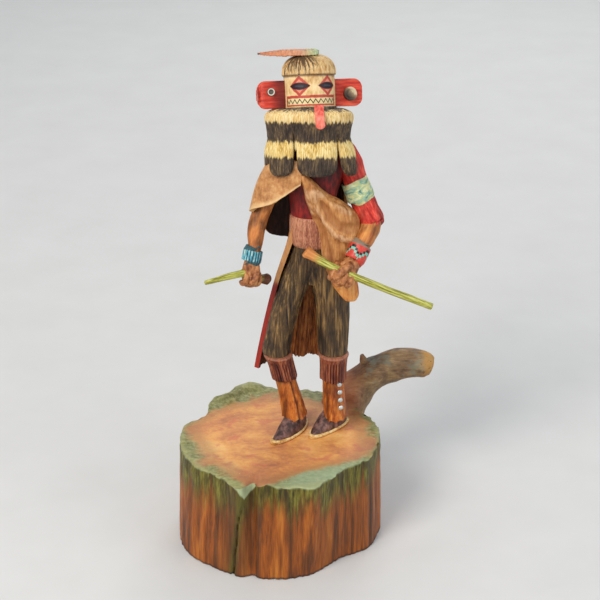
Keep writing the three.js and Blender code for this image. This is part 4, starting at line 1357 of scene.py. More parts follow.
@dataclass
class Mantle:
    """The leather mantle: a cape on the right shoulder, a long back and a fall down the left front."""

    cloth: float = 2.8
    cape_top: tuple[Row, ...] = (
        (12.5, -4.6, 237), (5, -4, 239.6), (-0.4, 2.4, 240), (-2.6, 12, 239), (-1, 22.6, 237),
        (10, 27.5, 235),
    )
    cape_hem: tuple[Row, ...] = (
        (12, -6.4, 224.5), (-3, -5, 213.5), (-16.2, 1, 206.8), (-14.1, 14.4, 198.6), (-7.6, 27, 183),
        (9, 30, 179),
    )
    cape_axis: tuple[float, float] = (4, 13)
    # Place and spread along the hem, and how far the cape stands out there in mm.
    cape_hollow: tuple[float, float, float] = (0.26, 0.13, -2.2)
    cape_shoulder: tuple[float, float, float] = (0.52, 0.15, 2.9)
    robe_strands: int = 46
    robe_rows: tuple[tuple[float, tuple[tuple[float, float], ...]], ...] = (
        (234, ((12, 20), (9, 22.6), (18, 27), (31, 24.4), (38, 18))),
        (200, ((8.4, 4.4), (7.4, 13.4), (10, 23.5), (28, 24.5), (39, 15))),
        (161, ((-2.6, 11), (0.6, 20.4), (10, 29), (28, 29.5), (41, 19))),
        (130, ((-9.6, 16), (-5, 25), (8, 33), (26, 33.5), (39, 24))),
        (97.5, ((-15.7, 21.5), (-8, 31), (6, 37), (24, 37.5), (38, 29))),
    )
    pleat: float = 0.8
    red_from: float = 156.0
    fall: tuple[Row, ...] = (
        (13.2, -3.6, 230, 1.6, 2.2), (13.8, -3.4, 228.4, 2.6, 3.2), (17.2, -2.2, 223, 4.2, 4.4),
        (20.6, -0.4, 217, 6.4, 6), (25.6, 2, 211, 10.2, 7.8), (30.4, 3.6, 204, 13, 9.4),
        (32.7, 4.2, 197, 12.9, 9.8), (33.8, 4.2, 189, 11.4, 9.6), (34.2, 3.4, 177, 9.6, 8.4),
        (36.4, 1.6, 165, 8, 6.4), (39.4, 0.2, 156, 6, 4), (40.6, -0.4, 151.9, 3.4, 2.2),
        (40.8, -0.4, 151.4, 1.4, 1),
    )

    # Lines of x and z that the front fall's folds follow, with their height and half width in mm.
    folds: tuple[tuple[tuple[tuple[float, float], ...], float, float], ...] = (
        (((19, 220), (21.5, 211), (25, 203), (31, 195), (36, 191.8), (41, 190.6)), 1.6, 1.9),
        (((24.5, 213), (28, 205), (33, 199.5), (40, 197)), -1.7, 3.2),
        (((22, 219.5), (27, 214), (33, 209.5), (40, 206)), 1.2, 1.7),
        (((15, 222), (17.4, 211), (20, 201), (23, 190), (25.4, 174)), 0.8, 1.5),
        (((21, 203), (26, 192), (29.4, 178)), -0.9, 2.2),
    )

    def cape(self) -> Piece:
        """The cape: ruled from its neck to its hem and bulged a little, with two soft folds."""
        steps = 24
        top, hem = smooth_rows(self.cape_top, steps), smooth_rows(self.cape_hem, steps)
        axis = np.array([*self.cape_axis, 0.0])

        def point(u: float, v: float) -> Array:
            """The cape's outer face at shares along its hem and down it."""
            spot = u * (len(top) - 1)
            k = min(int(spot), len(top) - 2)
            share = spot - k
            upper = np.array(top[k]) * (1 - share) + np.array(top[k + 1]) * share
            lower = np.array(hem[k]) * (1 - share) + np.array(hem[k + 1]) * share
            place = upper * (1 - v) + lower * v
            inward = np.array([axis[0] - place[0], axis[1] - place[1], -4.0])
            inward /= np.linalg.norm(inward)
            hollow = math.exp(-(((u - self.cape_hollow[0]) / self.cape_hollow[1]) ** 2))
            shoulder = math.exp(-(((u - self.cape_shoulder[0]) / self.cape_shoulder[1]) ** 2))
            bulge = 0.6 + self.cape_hollow[2] * hollow + self.cape_shoulder[2] * shoulder
            fold = bulge * math.sin(math.pi * v) + 0.4 * math.sin(u * 15 + v * 2.4) * v * (1 - 0.7 * v)
            return place - inward * fold

        piece = sheet("cape", point, 150, 60, self.cloth)
        return self._worked(piece, 0.22)

    def robe(self) -> Piece:
        """The long back, pleated, with strands cut down its lining and a ragged foot."""
        rows = [[(x, y, z) for x, y in plan] for z, plan in self.robe_rows]
        columns = [smooth_rows([row[i] for row in rows], 30) for i in range(len(rows[0]))]
        levels = len(columns[0]) - 1
        cross = [smooth_rows([column[k] for column in columns], 24) for k in range(levels + 1)]
        rng = np.random.default_rng(8)
        ragged = rng.normal(0, 0.8, 90)

        def point(u: float, v: float) -> Array:
            """The robe's outer face at shares across and down it."""
            k = min(int(round(v * levels)), levels)
            line = cross[k]
            spot = u * (len(line) - 1)
            i = min(int(spot), len(line) - 2)
            place = np.array(line[i]) * (1 - spot + i) + np.array(line[i + 1]) * (spot - i)
            place[1] += self.pleat * v * math.sin(u * 30)
            place[2] += ragged[int(u * 89)] * max(0.0, v * 12 - 11) + 0.5 * max(0.0, v * 12 - 11)
            return place

        piece = sheet("robe", point, 200, 120, self.cloth)
        places = places_of(piece)
        across = np.empty(len(places))
        piece.data.attributes["across"].data.foreach_get("value", across)
        sway = 0.012 * lumps(places, 12.0, (1, 1, 3), 3.0)
        cuts, tones = strands((across + sway) % 1.0, self.robe_strands, 31, 1.8)
        edge = np.clip(np.minimum(across, 1 - across) * 30, 0, 1)
        depth = cuts * edge * 0.55 + 0.3 * lumps(places, 6.0, (1, 1, 2.5), 9.0) * edge
        put_back(piece, places - normals_of(piece) * depth[:, None])
        keep_values(piece, "cut", cuts * edge)
        keep_values(piece, "tone", tones)
        return piece

    def _worked(self, piece: Piece, depth: float) -> Piece:
        """Leaves the tool's soft marks on a sheet."""
        places = places_of(piece)
        marks = (
            depth * lumps(places, 3.4, (1, 1, 2), 2.0) + depth * 0.5 * lumps(places, 1.3, (1, 1, 3), 4.0)
        )
        put_back(piece, places + normals_of(piece) * marks[:, None])
        keep_values(piece, "cut", np.clip(0.3 - marks / depth * 0.6, 0, 1))
        return piece

    @staticmethod
    def _off_line(x: Array, z: Array, line: Sequence[tuple[float, float]]) -> Array:
        """How far each vertex lies, seen from the front, from a line through points of x and z."""
        best = np.full(len(x), 1e3)
        for (x0, z0), (x1, z1) in zip(line, line[1:]):
            length = (x1 - x0) ** 2 + (z1 - z0) ** 2
            share = np.clip(((x - x0) * (x1 - x0) + (z - z0) * (z1 - z0)) / length, 0, 1)
            best = np.minimum(best, np.hypot(x - x0 - share * (x1 - x0), z - z0 - share * (z1 - z0)))
        return best

    def front_fall(self) -> Piece:
        """The fall at the front, hung in one deep soft fold from the shoulder to its rounded tip."""
        form = Form("front_fall", self.fall, 200, 12)

        def cut(around: Array, along: Array, places: Array) -> Array:
            """Folds on the front face only, small ribs near the tip and tool marks all over."""
            x, z = places[:, 0], places[:, 2]
            front = np.clip(-normals_of(form.piece)[:, 1] * 1.6, 0, 1)
            relief = np.zeros(len(x))
            for line, height, spread in self.folds:
                relief += height * np.exp(-((self._off_line(x, z, line) / spread) ** 2))
            ribs = (
                0.45 * np.sin((x - 0.35 * (z - 150)) * 0.75) * np.clip((176 - z) / 8, 0, 1)
                * np.clip((z - 153) / 4, 0, 1)
            )
            marks = 0.16 * lumps(places, 1.6, (1, 1, 3), 3.0) + 0.3 * lumps(places, 5.0, (1, 1, 2), 6.0)
            return front * (relief + ribs) + marks

        form.carve(cut)
        return form.piece

    def cape_paint(self) -> Paint:
        """Rubbed tan leather, paler along the hem, with faint painted shade in the tool marks."""
        bench = PaintBench("cape_leather")
        places = bench.coordinates()
        cloud = bench.speckle(places, 0.09, (1, 1, 1.5), 4, 0.6, 0.3)
        fine = bench.speckle(places, 0.7, (1, 1, 0.5), 4, 0.65)
        level = bench.weighted(cloud, 0.7, fine, 0.3)
        colour = bench.ramp(
            level, (0.38, (146, 92, 48)), (0.5, (190, 132, 78)), (0.6, (212, 160, 106))
        )
        down = bench.kept("down")
        hem = bench.step(bench.plus(down, bench.times(fine, 0.06)), 0.9, 1.0)
        colour = bench.coat(colour, (232, 194, 138), hem, 0.7)
        # Painted shade: a faint darkening in the low places of the tool marks.
        colour = bench.coat(colour, (96, 52, 24), bench.kept("cut"), 0.2)
        return bench.done(colour, 0.55, fine, 0.25)

    def trim_paint(self) -> Paint:
        """The robe's edge: tan leather above, painted red lower down."""
        bench = PaintBench("robe_trim")
        places = bench.coordinates()
        _, _, z = bench.split(places)
        fine = bench.speckle(places, 0.6, (1, 1, 0.2), 4)
        red = bench.mix(fine, (120, 26, 22), (190, 60, 46))
        tan = bench.mix(fine, (164, 100, 52), (220, 164, 106))
        place = bench.plus(z, bench.times(fine, 14.0))
        colour = bench.mix(bench.step(place, self.red_from + 4, self.red_from + 12), red, tan)
        return bench.done(colour, 0.5, fine, 0.2)

    def lining_paint(self) -> Paint:
        """Streaked orange-brown, with painted shade: near black high up and along the right-hand edge, and
        dark in the strand cuts.
        """
        bench = PaintBench("robe_lining")
        places = bench.coordinates()
        _, _, z = bench.split(places)
        grain = bench.speckle(places, 0.7, (1, 1, 0.1), 5, 0.65)
        tone = bench.centred(bench.kept("tone"), 0.16)
        colour = bench.ramp(
            bench.plus(grain, tone), (0.3, (70, 34, 16)), (0.46, (140, 78, 34)), (0.64, (200, 126, 62))
        )
        # Painted shade: near black high up and along the right-hand edge.
        shade = bench.maths(
            "MAXIMUM", bench.step(bench.kept("across"), 0.26, 0.14), bench.step(z, 168.0, 196.0)
        )
        colour = bench.coat(colour, (34, 19, 14), shade, 0.8)
        # Painted shade in the strand cuts.
        cut = bench.times(bench.maths("POWER", bench.kept("cut"), 1.6), 0.85)
        colour = bench.coat(colour, (35, 17, 8), cut)
        return bench.done(colour, 0.6, grain, 0.4)

    def fall_paint(self) -> Paint:
        """Tan leather with painted highlights, whitish along the raised folds, painted shade in the fold
        hollows, and orange towards its tip.
        """
        bench = PaintBench("fall_leather")
        places = bench.coordinates()
        _, _, z = bench.split(places)
        streak = bench.speckle(places, 0.55, (1, 1, 0.16), 5, 0.65)
        cloud = bench.speckle(places, 0.1, (1, 1, 1), 3, 0.5)
        level = bench.weighted(streak, 0.6, cloud, 0.4)
        colour = bench.ramp(
            level, (0.38, (136, 80, 38)), (0.5, (184, 122, 66)), (0.62, (214, 156, 96))
        )
        cut = bench.kept("cut")
        # Painted highlight: whitish streaks along the raised folds, from about 168 mm upwards.
        high = bench.times(bench.step(cut, 0.4, 0.0), bench.step(z, 168.0, 186.0))
        high = bench.times(high, bench.step(streak, 0.3, 0.66))
        colour = bench.coat(colour, (220, 184, 146), high, 0.5)
        # Painted shade in the hollows between the folds.
        colour = bench.coat(colour, (140, 78, 34), bench.step(cut, 0.5, 1.0), 0.5)
        tip = bench.step(z, 172.0, 158.0)
        orange = bench.ramp(level, (0.4, (176, 96, 40)), (0.5, (216, 136, 64)), (0.62, (236, 176, 104)))
        colour = bench.coat(colour, orange, tip, 0.85)
        return bench.done(colour, 0.55, streak, 0.25)

    def build(self) -> None:
        """Makes and dresses the mantle."""
        # Painted shade: the cape's inside is painted near black.
        hollow = StreakedPaint(
            "cape_lining_painted_shade", (26, 14, 10), (52, 29, 20), (84, 48, 32), grain=0.5, draw=0.25, patch=0.08,
            rough=0.7,
        ).make()
        pale_rim = StreakedPaint(
            "cape_rim", (176, 124, 74), (222, 178, 122), (240, 208, 158), grain=0.5, draw=0.6, rough=0.55
        ).make()
        outside = StreakedPaint(
            "robe_leather", (120, 70, 36), (176, 118, 68), (206, 152, 98), grain=0.6, draw=0.2, patch=0.06,
            cut_shade_share=0.35, rough=0.55,
        ).make()
        finish_piece(self.cape(), [self.cape_paint(), hollow, pale_rim], Slot.CARVED, "figure", 60)
        finish_piece(
            self.robe(), [outside, self.lining_paint(), self.trim_paint()], Slot.CARVED, "figure", 60
        )
        finish_piece(self.front_fall(), [self.fall_paint()], Slot.CARVED, "figure", 75)


# ---------------------------------------------------------------- ruff


@dataclass
class Ruff:
    """The thick fur ruff: a squared drum with a rolled top, and eight hanging flaps."""

    axis: tuple[float, float] = (16.7, 12.6)
    lean: float = 0.3
    power: float = 2.8
    drum: tuple[Row, ...] = (
        (17, 12.6, 261.4, 13.4, 12), (17, 12.6, 262.6, 15.6, 14), (16.9, 12.6, 262.4, 19.4, 17),
        (16.7, 12.6, 260.4, 23.4, 20), (16.6, 12.6, 256.8, 24.6, 21), (16.6, 12.6, 250, 23.4, 20.2),
        (16.7, 12.6, 243, 22.6, 19.4), (16.8, 12.6, 239.4, 21.4, 18.2), (16.8, 12.6, 238.4, 19, 16),
    )
    # Middle and half width of each front flap, in mm along the drum's outline from its front.
    front_flaps: tuple[tuple[float, float], ...] = ((-17.0, 8.5), (4.5, 11.3), (25.2, 8.4))
    other_flaps: int = 5
    flap_tuck: float = 1.6
    # How far down a flap, its share of the half width and its share of the thickness.
    flap_profile: tuple[Row, ...] = (
        (0, 0.96, 0.2), (0.04, 1, 0.25), (0.25, 1.0, 0.55), (0.45, 1.0, 0.85), (0.74, 0.98, 0.8),
        (0.86, 0.9, 0.75), (0.93, 0.76, 0.7), (0.98, 0.5, 0.6), (1, 0.2, 0.4),
    )
    flap_flares: tuple[float, float, float] = (0.3, 1.6, 2.8)
    flap_outline: tuple[float, float] = (23.2, 19.8)
    flap_top: float = 249.0
    flap_tip: float = 223.8
    flap_thick: float = 3.4
    bands: tuple[float, float, float] = (255.2, 243.9, 235.1)
    splits: tuple[float, float] = (8.2, 32.4)
    split_tops: tuple[float, float] = (252.0, 243.0)
    grey_from: float = 261.4
    collar_strands: int = 150
    flap_strands: int = 54

    def _leaned(self, places: Array) -> Array:
        """Tips the ruff so that its front stands higher than its back."""
        places = places.copy()
        places[:, 2] += self.lean * (self.axis[1] - places[:, 1])
        return places

    def collar(self) -> Piece:
        """The drum, with fine vertical strands and a soft groove between its front flaps."""
        form = Form("ruff_collar", self.drum, 440, 7, power=self.power)

        def grooves(around: Array, along: Array, places: Array) -> Array:
            """Soft lumps, with a groove above each gap between the front flaps."""
            split = np.zeros(len(around))
            for x in self.splits:
                near = np.exp(-(((places[:, 0] - x) / 0.5) ** 2)) * (places[:, 1] < 0)
                split += near * np.clip((255 - places[:, 2]) / 10, 0, 1)
            return 0.35 * lumps(places, 4.0, (1, 1, 1.6), 2.0) - 1.5 * split

        form.carve(grooves)
        form.carve_strands(self.collar_strands, 0.42, 41, 1.6, 1.6)
        form.shape(self._leaned)
        return form.piece

    def _outline(self) -> tuple[Array, Array, Array]:
        """The drum's outline in plan: mm along it from its front, its points, and its outward directions."""
        turn = np.linspace(-math.pi / 2, 1.5 * math.pi, 1441)
        cos, sin = np.cos(turn), np.sin(turn)
        wide, deep = self.flap_outline
        x = self.axis[0] + wide * np.sign(cos) * np.abs(cos) ** (2 / self.power)
        y = self.axis[1] + deep * np.sign(sin) * np.abs(sin) ** (2 / self.power)
        points = np.column_stack([x, y])
        arc = np.concatenate([[0], np.cumsum(np.linalg.norm(np.diff(points, axis=0), axis=1))])
        tangent = np.gradient(points, arc, axis=0)
        tangent /= np.linalg.norm(tangent, axis=1)[:, None]
        return arc, points, np.column_stack([tangent[:, 1], -tangent[:, 0]])

    def _flap_places(self) -> list[tuple[float, float, float]]:
        """Middle, half width and flare of every flap, the three front ones first."""
        round_it = self._outline()[0][-1]
        places = [
            (middle, half, flare) for (middle, half), flare in zip(self.front_flaps, self.flap_flares)
        ]
        start = self.front_flaps[2][0] + self.front_flaps[2][1]
        room = round_it + self.front_flaps[0][0] - self.front_flaps[0][1] - start
        each = room / self.other_flaps
        places += [
            (start + each * (k + 0.5), each / 2 - 0.5, 1.6 - 0.35 * k) for k in range(self.other_flaps)
        ]
        return places

    def flap(self, number: int) -> Piece:
        """One hanging flap with a rounded tip, bent round the drum and rooted inside it."""
        middle, half, flare = self._flap_places()[number]
        slant = 1.6 if number == 2 else 0.0
        rows = []
        for t, width, deep in self.flap_profile:
            rows.append(
                (
                    slant * t * t, t, self.flap_top + (self.flap_tip - self.flap_top) * t, half * width,
                    self.flap_thick * deep,
                )
            )
        form = Form(f"ruff_flap_{number + 1}", rows, 200, 5, power=2.8)
        arc, points, outward = self._outline()

        def turned(places: Array) -> Array:
            """Bends the flat flap round the drum's outline."""
            t = np.array([row[1] for row in form.rows]).repeat(form.sides)
            spot = (middle + places[:, 0]) % arc[-1]
            plan = np.column_stack([np.interp(spot, arc, points[:, k]) for k in (0, 1)])
            out = np.column_stack([np.interp(spot, arc, outward[:, k]) for k in (0, 1)])
            away = places[:, 1] - t - self.flap_tuck + (flare + 0.4) * np.clip(t * 1.2, 0, 1)
            return np.column_stack([plan + out * away[:, None], places[:, 2]])

        form.shape(turned)
        face_out(form.piece)
        form.carve_strands(self.flap_strands, 0.5, 50 + number, 1.2, 1.5)
        form.shape(self._leaned)
        return form.piece

    def paint(self) -> Paint:
        """Cream and dark bands with jagged edges, brushed along the strands, with painted shade in the
        strand cuts and a painted shadow line down each split between the front flaps.
        """
        bench = PaintBench("ruff_fur")
        places = bench.coordinates()
        x, y, z = bench.split(places)
        level = bench.minus(z, bench.times(bench.minus(self.axis[1], y), self.lean))
        spike = bench.speckle(places, 0.75, (1, 1, 0.07), 4, 0.7)
        jag = bench.centred(spike, 7.0)
        jag = bench.plus(jag, bench.centred(bench.kept("tone"), 1.6))
        level = bench.plus(level, jag)
        streak = bench.speckle(places, 1.2, (1, 1, 0.12), 4, 0.7)
        cloud = bench.speckle(places, 0.16, (1, 1, 0.6), 3, 0.6)
        shade = bench.weighted(streak, 0.65, cloud, 0.35)
        cream = bench.ramp(shade, (0.36, (190, 142, 72)), (0.46, (226, 188, 118)), (0.58, (244, 220, 164)))
        yellow = bench.ramp(shade, (0.36, (150, 116, 52)), (0.45, (220, 182, 98)), (0.57, (244, 220, 156)))
        dark = bench.ramp(
            shade, (0.38, (34, 28, 24)), (0.5, (72, 58, 46)), (0.6, (122, 98, 66)), (0.68, (170, 136, 80))
        )
        grey = bench.mix(streak, (60, 52, 46), (140, 124, 106))
        cream = bench.mix(bench.step(level, self.grey_from, self.grey_from + 0.8), cream, grey)
        top, middle, low = self.bands
        soft = 0.8
        colour = bench.mix(bench.step(level, top + soft, top - soft), cream, dark)
        colour = bench.coat(colour, yellow, bench.step(level, middle + soft, middle - soft))
        colour = bench.coat(colour, dark, bench.step(level, low + soft, low - soft))
        # Painted shade in the cuts between the strands.
        colour = bench.coat(colour, (56, 36, 22), bench.maths("POWER", bench.kept("cut"), 2.0), 0.7)
        # Painted shadow: a dark line down each split between the front flaps.
        front = bench.step(y, 2.0, -2.0)
        for place, start in zip(self.splits, self.split_tops):
            line = bench.within(x, place - 0.15, place + 0.15, 0.3)
            line = bench.times(bench.times(line, front), bench.step(level, start, start - 3.0))
            colour = bench.coat(colour, (36, 14, 12), line, 0.85)
        return bench.done(colour, 0.65, streak, 0.3)

    def build(self) -> None:
        """Makes and dresses the ruff."""
        fur = self.paint()
        finish_piece(self.collar(), [fur], Slot.CARVED, "figure", 75)
        for number in range(len(self.front_flaps) + self.other_flaps):
            finish_piece(self.flap(number), [fur], Slot.CARVED, "figure", 75)


# ---------------------------------------------------------------- head


@dataclass
class Head:
    """The cylinder mask with its cap of hair, board ears and their plugs, tongue and crown feather."""

    base: Row = (17.3, 11.4, 262.4)
    lean: float = 20.0
    roll: float = -2.2
    turn: float = 11.0
    radius: float = 14.0
    face: float = 18.6
    hair: float = 11.6
    fringe: float = 0.9
    hair_strands: int = 120
    ear_reach: float = 15.4
    ear_half_height: float = 7.6
    ear_thick: float = 3.6
    ear_middle: float = 8.6
    ear_root: float = 3.0
    ear_corner: float = 4.7
    plug_radii: tuple[float, float] = (2.1, 3.8)
    plug_lifts: tuple[float, float] = (1.5, -0.8)
    plug_proud: float = 3.0
    plug_along: float = 8.2
    tongue_length: float = 10.4
    tongue_root: Row = (21.9, -4.1, 269.6)
    tongue_drift: float = 1.1
    tongue_reach: float = 7.6
    tongue_half_width: float = 2.6
    tongue_half_thick: float = 0.85
    feather_length: float = 33.5
    feather_half_width: float = 4.6
    feather_thick: float = 3.0
    feather_tip: Row = (-11.4, 16.0, 292.6)
    feather_rise: float = 1.2
    crown: tuple[float, float] = (-5.0, -5.0)
    # Middle along the mask's curve, half width; all share one height and half height.
    eyes: tuple[tuple[float, float], ...] = ((-8.4, 6.3), (8.2, 6.1))
    eye_level: float = 12.5
    eye_half_height: float = 5.9
    teeth: tuple[float, float] = (2.6, 6.0)
    tooth_pitch: float = 1.5
    mouth_ends: tuple[float, float] = (-17.4, 13.6)

    def __post_init__(self) -> None:
        """Works out the frame that the mask is set in."""
        turned = (
            Matrix.Rotation(math.radians(-self.lean), 4, "X")
            @ Matrix.Rotation(math.radians(self.roll), 4, "Y")
        )
        self.frame = (
            Matrix.Translation(self.base) @ turned @ Matrix.Rotation(math.radians(self.turn), 4, "Z")
        )
        self.setting = Setting(self.base, tuple(self.frame.to_euler("XYZ")))

    def placed(self, piece: Piece) -> Piece:
        """Moves a piece made in the mask's own frame to its place."""
        places = places_of(piece)
        full = np.column_stack([places, np.ones(len(places))]) @ np.array(self.frame).T
        put_back(piece, full[:, :3])
        return piece

    def mask(self) -> Piece:
        """The mask: a slightly uneven whittled cylinder."""
        r = self.radius
        rows = (
            (0, 0, -2, r - 1.6), (0, 0, -1.7, r - 0.5), (0, 0, -0.9, r), (0, 0, 6, r),
            (0, 0, self.face + 0.6, r), (0, 0, self.face + 1, r - 1),
        )
        form = Form("mask", rows, 240, 10)
        form.carve(
            lambda around, along, places: 0.14 * lumps(places, 5.0, (1, 1, 2), 1.0)
            + 0.05 * lumps(places, 1.2, seed=2.0)
        )
        return self.placed(form.piece)

    def throat(self) -> Piece:
        """The dark band of fur just under the mask."""
        r = self.radius
        rows = (
            (0, 0, -6, r - 2), (0, 0, -4, r + 0.4), (0, 0, -1, r + 0.7), (0, 0, 0.9, r + 0.5),
            (0, 0, 1.5, r - 0.6),
        )
        form = Form("throat", rows, 200, 6)
        form.carve_strands(90, 0.35, 61, 0.8, 1.6)
        return self.placed(form.piece)

    def cap(self) -> Piece:
        """The cap of hair, cut straight across over the face, with its strands."""
        outer = self.radius + self.fringe
        rows = [
            (0, 0, self.face + 0.3, self.radius - 1), (0, 0, self.face - 0.1, outer - 0.5),
            (0, 0, self.face + 0.3, outer),
        ]
        for turn in np.linspace(0.02, 0.985, 16) * math.pi / 2:
            rows.append(
                (0, 0, self.face + 2 + (self.hair - 2) * math.sin(turn), outer * math.cos(turn) ** 0.68)
            )
        form = Form("hair_cap", rows, 400, 3)
        places = places_of(form.piece)
        off = (
            places[:, :2]
            - np.array(self.crown) * np.clip((places[:, 2:3] - self.face - 3) / self.hair, 0, 1)
        )
        around = (np.arctan2(off[:, 1], off[:, 0]) / (2 * math.pi)) % 1.0
        cuts, tones = strands(
            (around + 0.004 * lumps(places, 3.0, seed=4.0)) % 1.0, self.hair_strands, 71, 1.5
        )
        fade = np.clip(np.hypot(off[:, 0], off[:, 1]) / 5.0, 0, 1) * np.clip(form.along * 20, 0, 1)
        places = places - normals_of(form.piece) * (cuts * fade * 0.42)[:, None]
        put_back(form.piece, places)
        keep_values(form.piece, "cut", cuts * fade)
        keep_values(form.piece, "tone", tones)
        return self.placed(form.piece)

    def ear(self, side: int) -> Piece:
        """A board ear with two round corners, whittled along its grain."""
        inner, outer = self.radius - self.ear_root, self.radius + self.ear_reach
        clear_selection()
        size = Vector((outer - inner, self.ear_thick, 2 * self.ear_half_height)) * MM
        middle = Vector((side * (inner + outer) / 2, 0, self.ear_middle)) * MM
        bpy.ops.mesh.primitive_cube_add(size=1, location=middle, scale=size)
        piece = bpy.context.object
        piece.name = "ear_board_left" if side > 0 else "ear_board_right"
        bpy.ops.object.transform_apply(location=True, rotation=True, scale=True)
        bpy.ops.object.mode_set(mode="EDIT")
        bpy.ops.mesh.select_all(action="DESELECT")
        bpy.ops.object.mode_set(mode="OBJECT")
        for edge in piece.data.edges:
            ends = [piece.data.vertices[v].co / MM for v in edge.vertices]
            along_y = abs(ends[0].y - ends[1].y) > self.ear_thick * 0.9
            edge.select = along_y and abs(ends[0].x) > outer - 0.1
        bpy.ops.object.mode_set(mode="EDIT")
        bpy.ops.mesh.select_mode(type="EDGE")
        bpy.ops.mesh.bevel(offset=self.ear_corner * MM, segments=8)
        bpy.ops.object.mode_set(mode="OBJECT")
        apply_modifier(
            piece, "BEVEL", width=0.55 * MM, segments=3, limit_method="ANGLE", angle_limit=math.radians(50)
        )
        apply_modifier(piece, "REMESH", mode="VOXEL", voxel_size=0.3 * MM)
        places = places_of(piece)
        grain = 0.13 * lumps(places, 1.1, (9, 1, 1), 3.0) + 0.1 * lumps(places, 3.5, (3, 1, 1), 5.0)
        put_back(piece, places + normals_of(piece) * grain[:, None])
        keep_values(piece, "cut", np.clip(0.3 - grain * 3, 0, 1))
        return self.placed(piece)

    def plug(self, side: int) -> Piece:
        """An ear plug: a peg with a hollowed face."""
        radius = self.plug_radii[side > 0]
        clear_selection()
        height = self.ear_middle + self.plug_lifts[side > 0]
        start = Vector((side * (self.radius + self.plug_along), -self.ear_thick / 2, height))
        bpy.ops.mesh.primitive_cylinder_add(
            vertices=40, radius=radius * MM, depth=self.plug_proud * MM, rotation=(math.pi / 2, 0, 0),
            location=(start - Vector((0, self.plug_proud / 2, 0))) * MM,
        )
        piece = bpy.context.object
        piece.name = "ear_peg_left" if side > 0 else "ear_peg_right"
        bpy.ops.object.transform_apply(location=True, rotation=True, scale=True)
        face = min(piece.data.polygons, key=lambda polygon: polygon.center.y)
        for polygon in piece.data.polygons:
            polygon.select = polygon == face
        for edge in piece.data.edges:
            edge.select = False
        for vertex in piece.data.vertices:
            vertex.select = vertex.index in face.vertices
        bpy.ops.object.mode_set(mode="EDIT")
        bpy.ops.mesh.select_mode(type="FACE")
        bpy.ops.mesh.inset(thickness=radius * 0.3 * MM)
        bpy.ops.mesh.extrude_region_move(TRANSFORM_OT_translate={"value": (0, 0.9 * MM, 0)})
        bpy.ops.transform.resize(value=(0.75, 1, 0.75), center_override=(start + Vector((0, -2, 0))) * MM)
        bpy.ops.object.mode_set(mode="OBJECT")
        apply_modifier(
            piece, "BEVEL", width=0.28 * MM, segments=3, limit_method="ANGLE", angle_limit=math.radians(40)
        )
        if side > 0:
            places = places_of(piece)
            front = np.clip((start.y - 1.4 - places[:, 1]) / 1.4, 0, 1)
            tilt = 0.28 * (places[:, 0] - start.x) + 0.2 * (places[:, 2] - start.z)
            places[:, 1] += front * tilt + front * 0.3 * lumps(places, 1.6, seed=2.0)
            put_back(piece, places)
        return self.placed(piece)

    def tongue(self) -> Piece:
        """The tongue that hangs over the ruff."""
        x, y, z = self.tongue_root
        rows = []
        for t in (0, 0.15, 0.3, 0.45, 0.6, 0.72, 0.8, 0.86, 0.91, 0.95, 0.98, 1):
            end = math.sqrt(max(0.06, 1 - (max(0.0, t - 0.8) / 0.2) ** 2))
            out = self.tongue_reach * math.sin(math.pi / 2 * min(1.0, t * 1.35))
            spot = (x + self.tongue_drift * t, y - out, z - self.tongue_length * t)
            rows.append((*spot, self.tongue_half_width * end, self.tongue_half_thick * end**0.5))
        form = Form("tongue_flap", rows, 48, 3, across=(1, 0, 0), power=3.0)
        form.carve(lambda around, along, places: 0.1 * lumps(places, 1.8, seed=2.0))
        return form.piece

    def feather(self) -> Piece:
        """The feather across the crown, ragged along its edges."""
        x, y, z = self.feather_tip
        rows = []
        for t in (0, 0.02, 0.06, 0.14, 0.25, 0.4, 0.55, 0.7, 0.8, 0.88, 0.94, 0.98, 1.0):
            end = math.sqrt(max(0.03, 1 - (max(0.0, t - 0.86) / 0.15) ** 2))
            width = self.feather_half_width * (0.22 + 0.78 * min(1.0, t * 2.4)) * end
            deep = self.feather_thick / 2 * (0.3 + 0.7 * min(1.0, t * 3)) * end**0.5
            rows.append((x + self.feather_length * t, y, z + self.feather_rise * t, width, deep))
        form = Form("feather_vane", rows, 96, 14, across=(0, 1, 0), power=1.8)
        form.carve(
            lambda around, along, places: 0.34 * lumps(places, 1.1, (0.9, 3, 3), 4.0)
            + 0.22 * lumps(places, 0.55, (0.8, 4, 3), 6.0)
        )
        keep_values(form.piece, "along", form.along)
        return form.piece

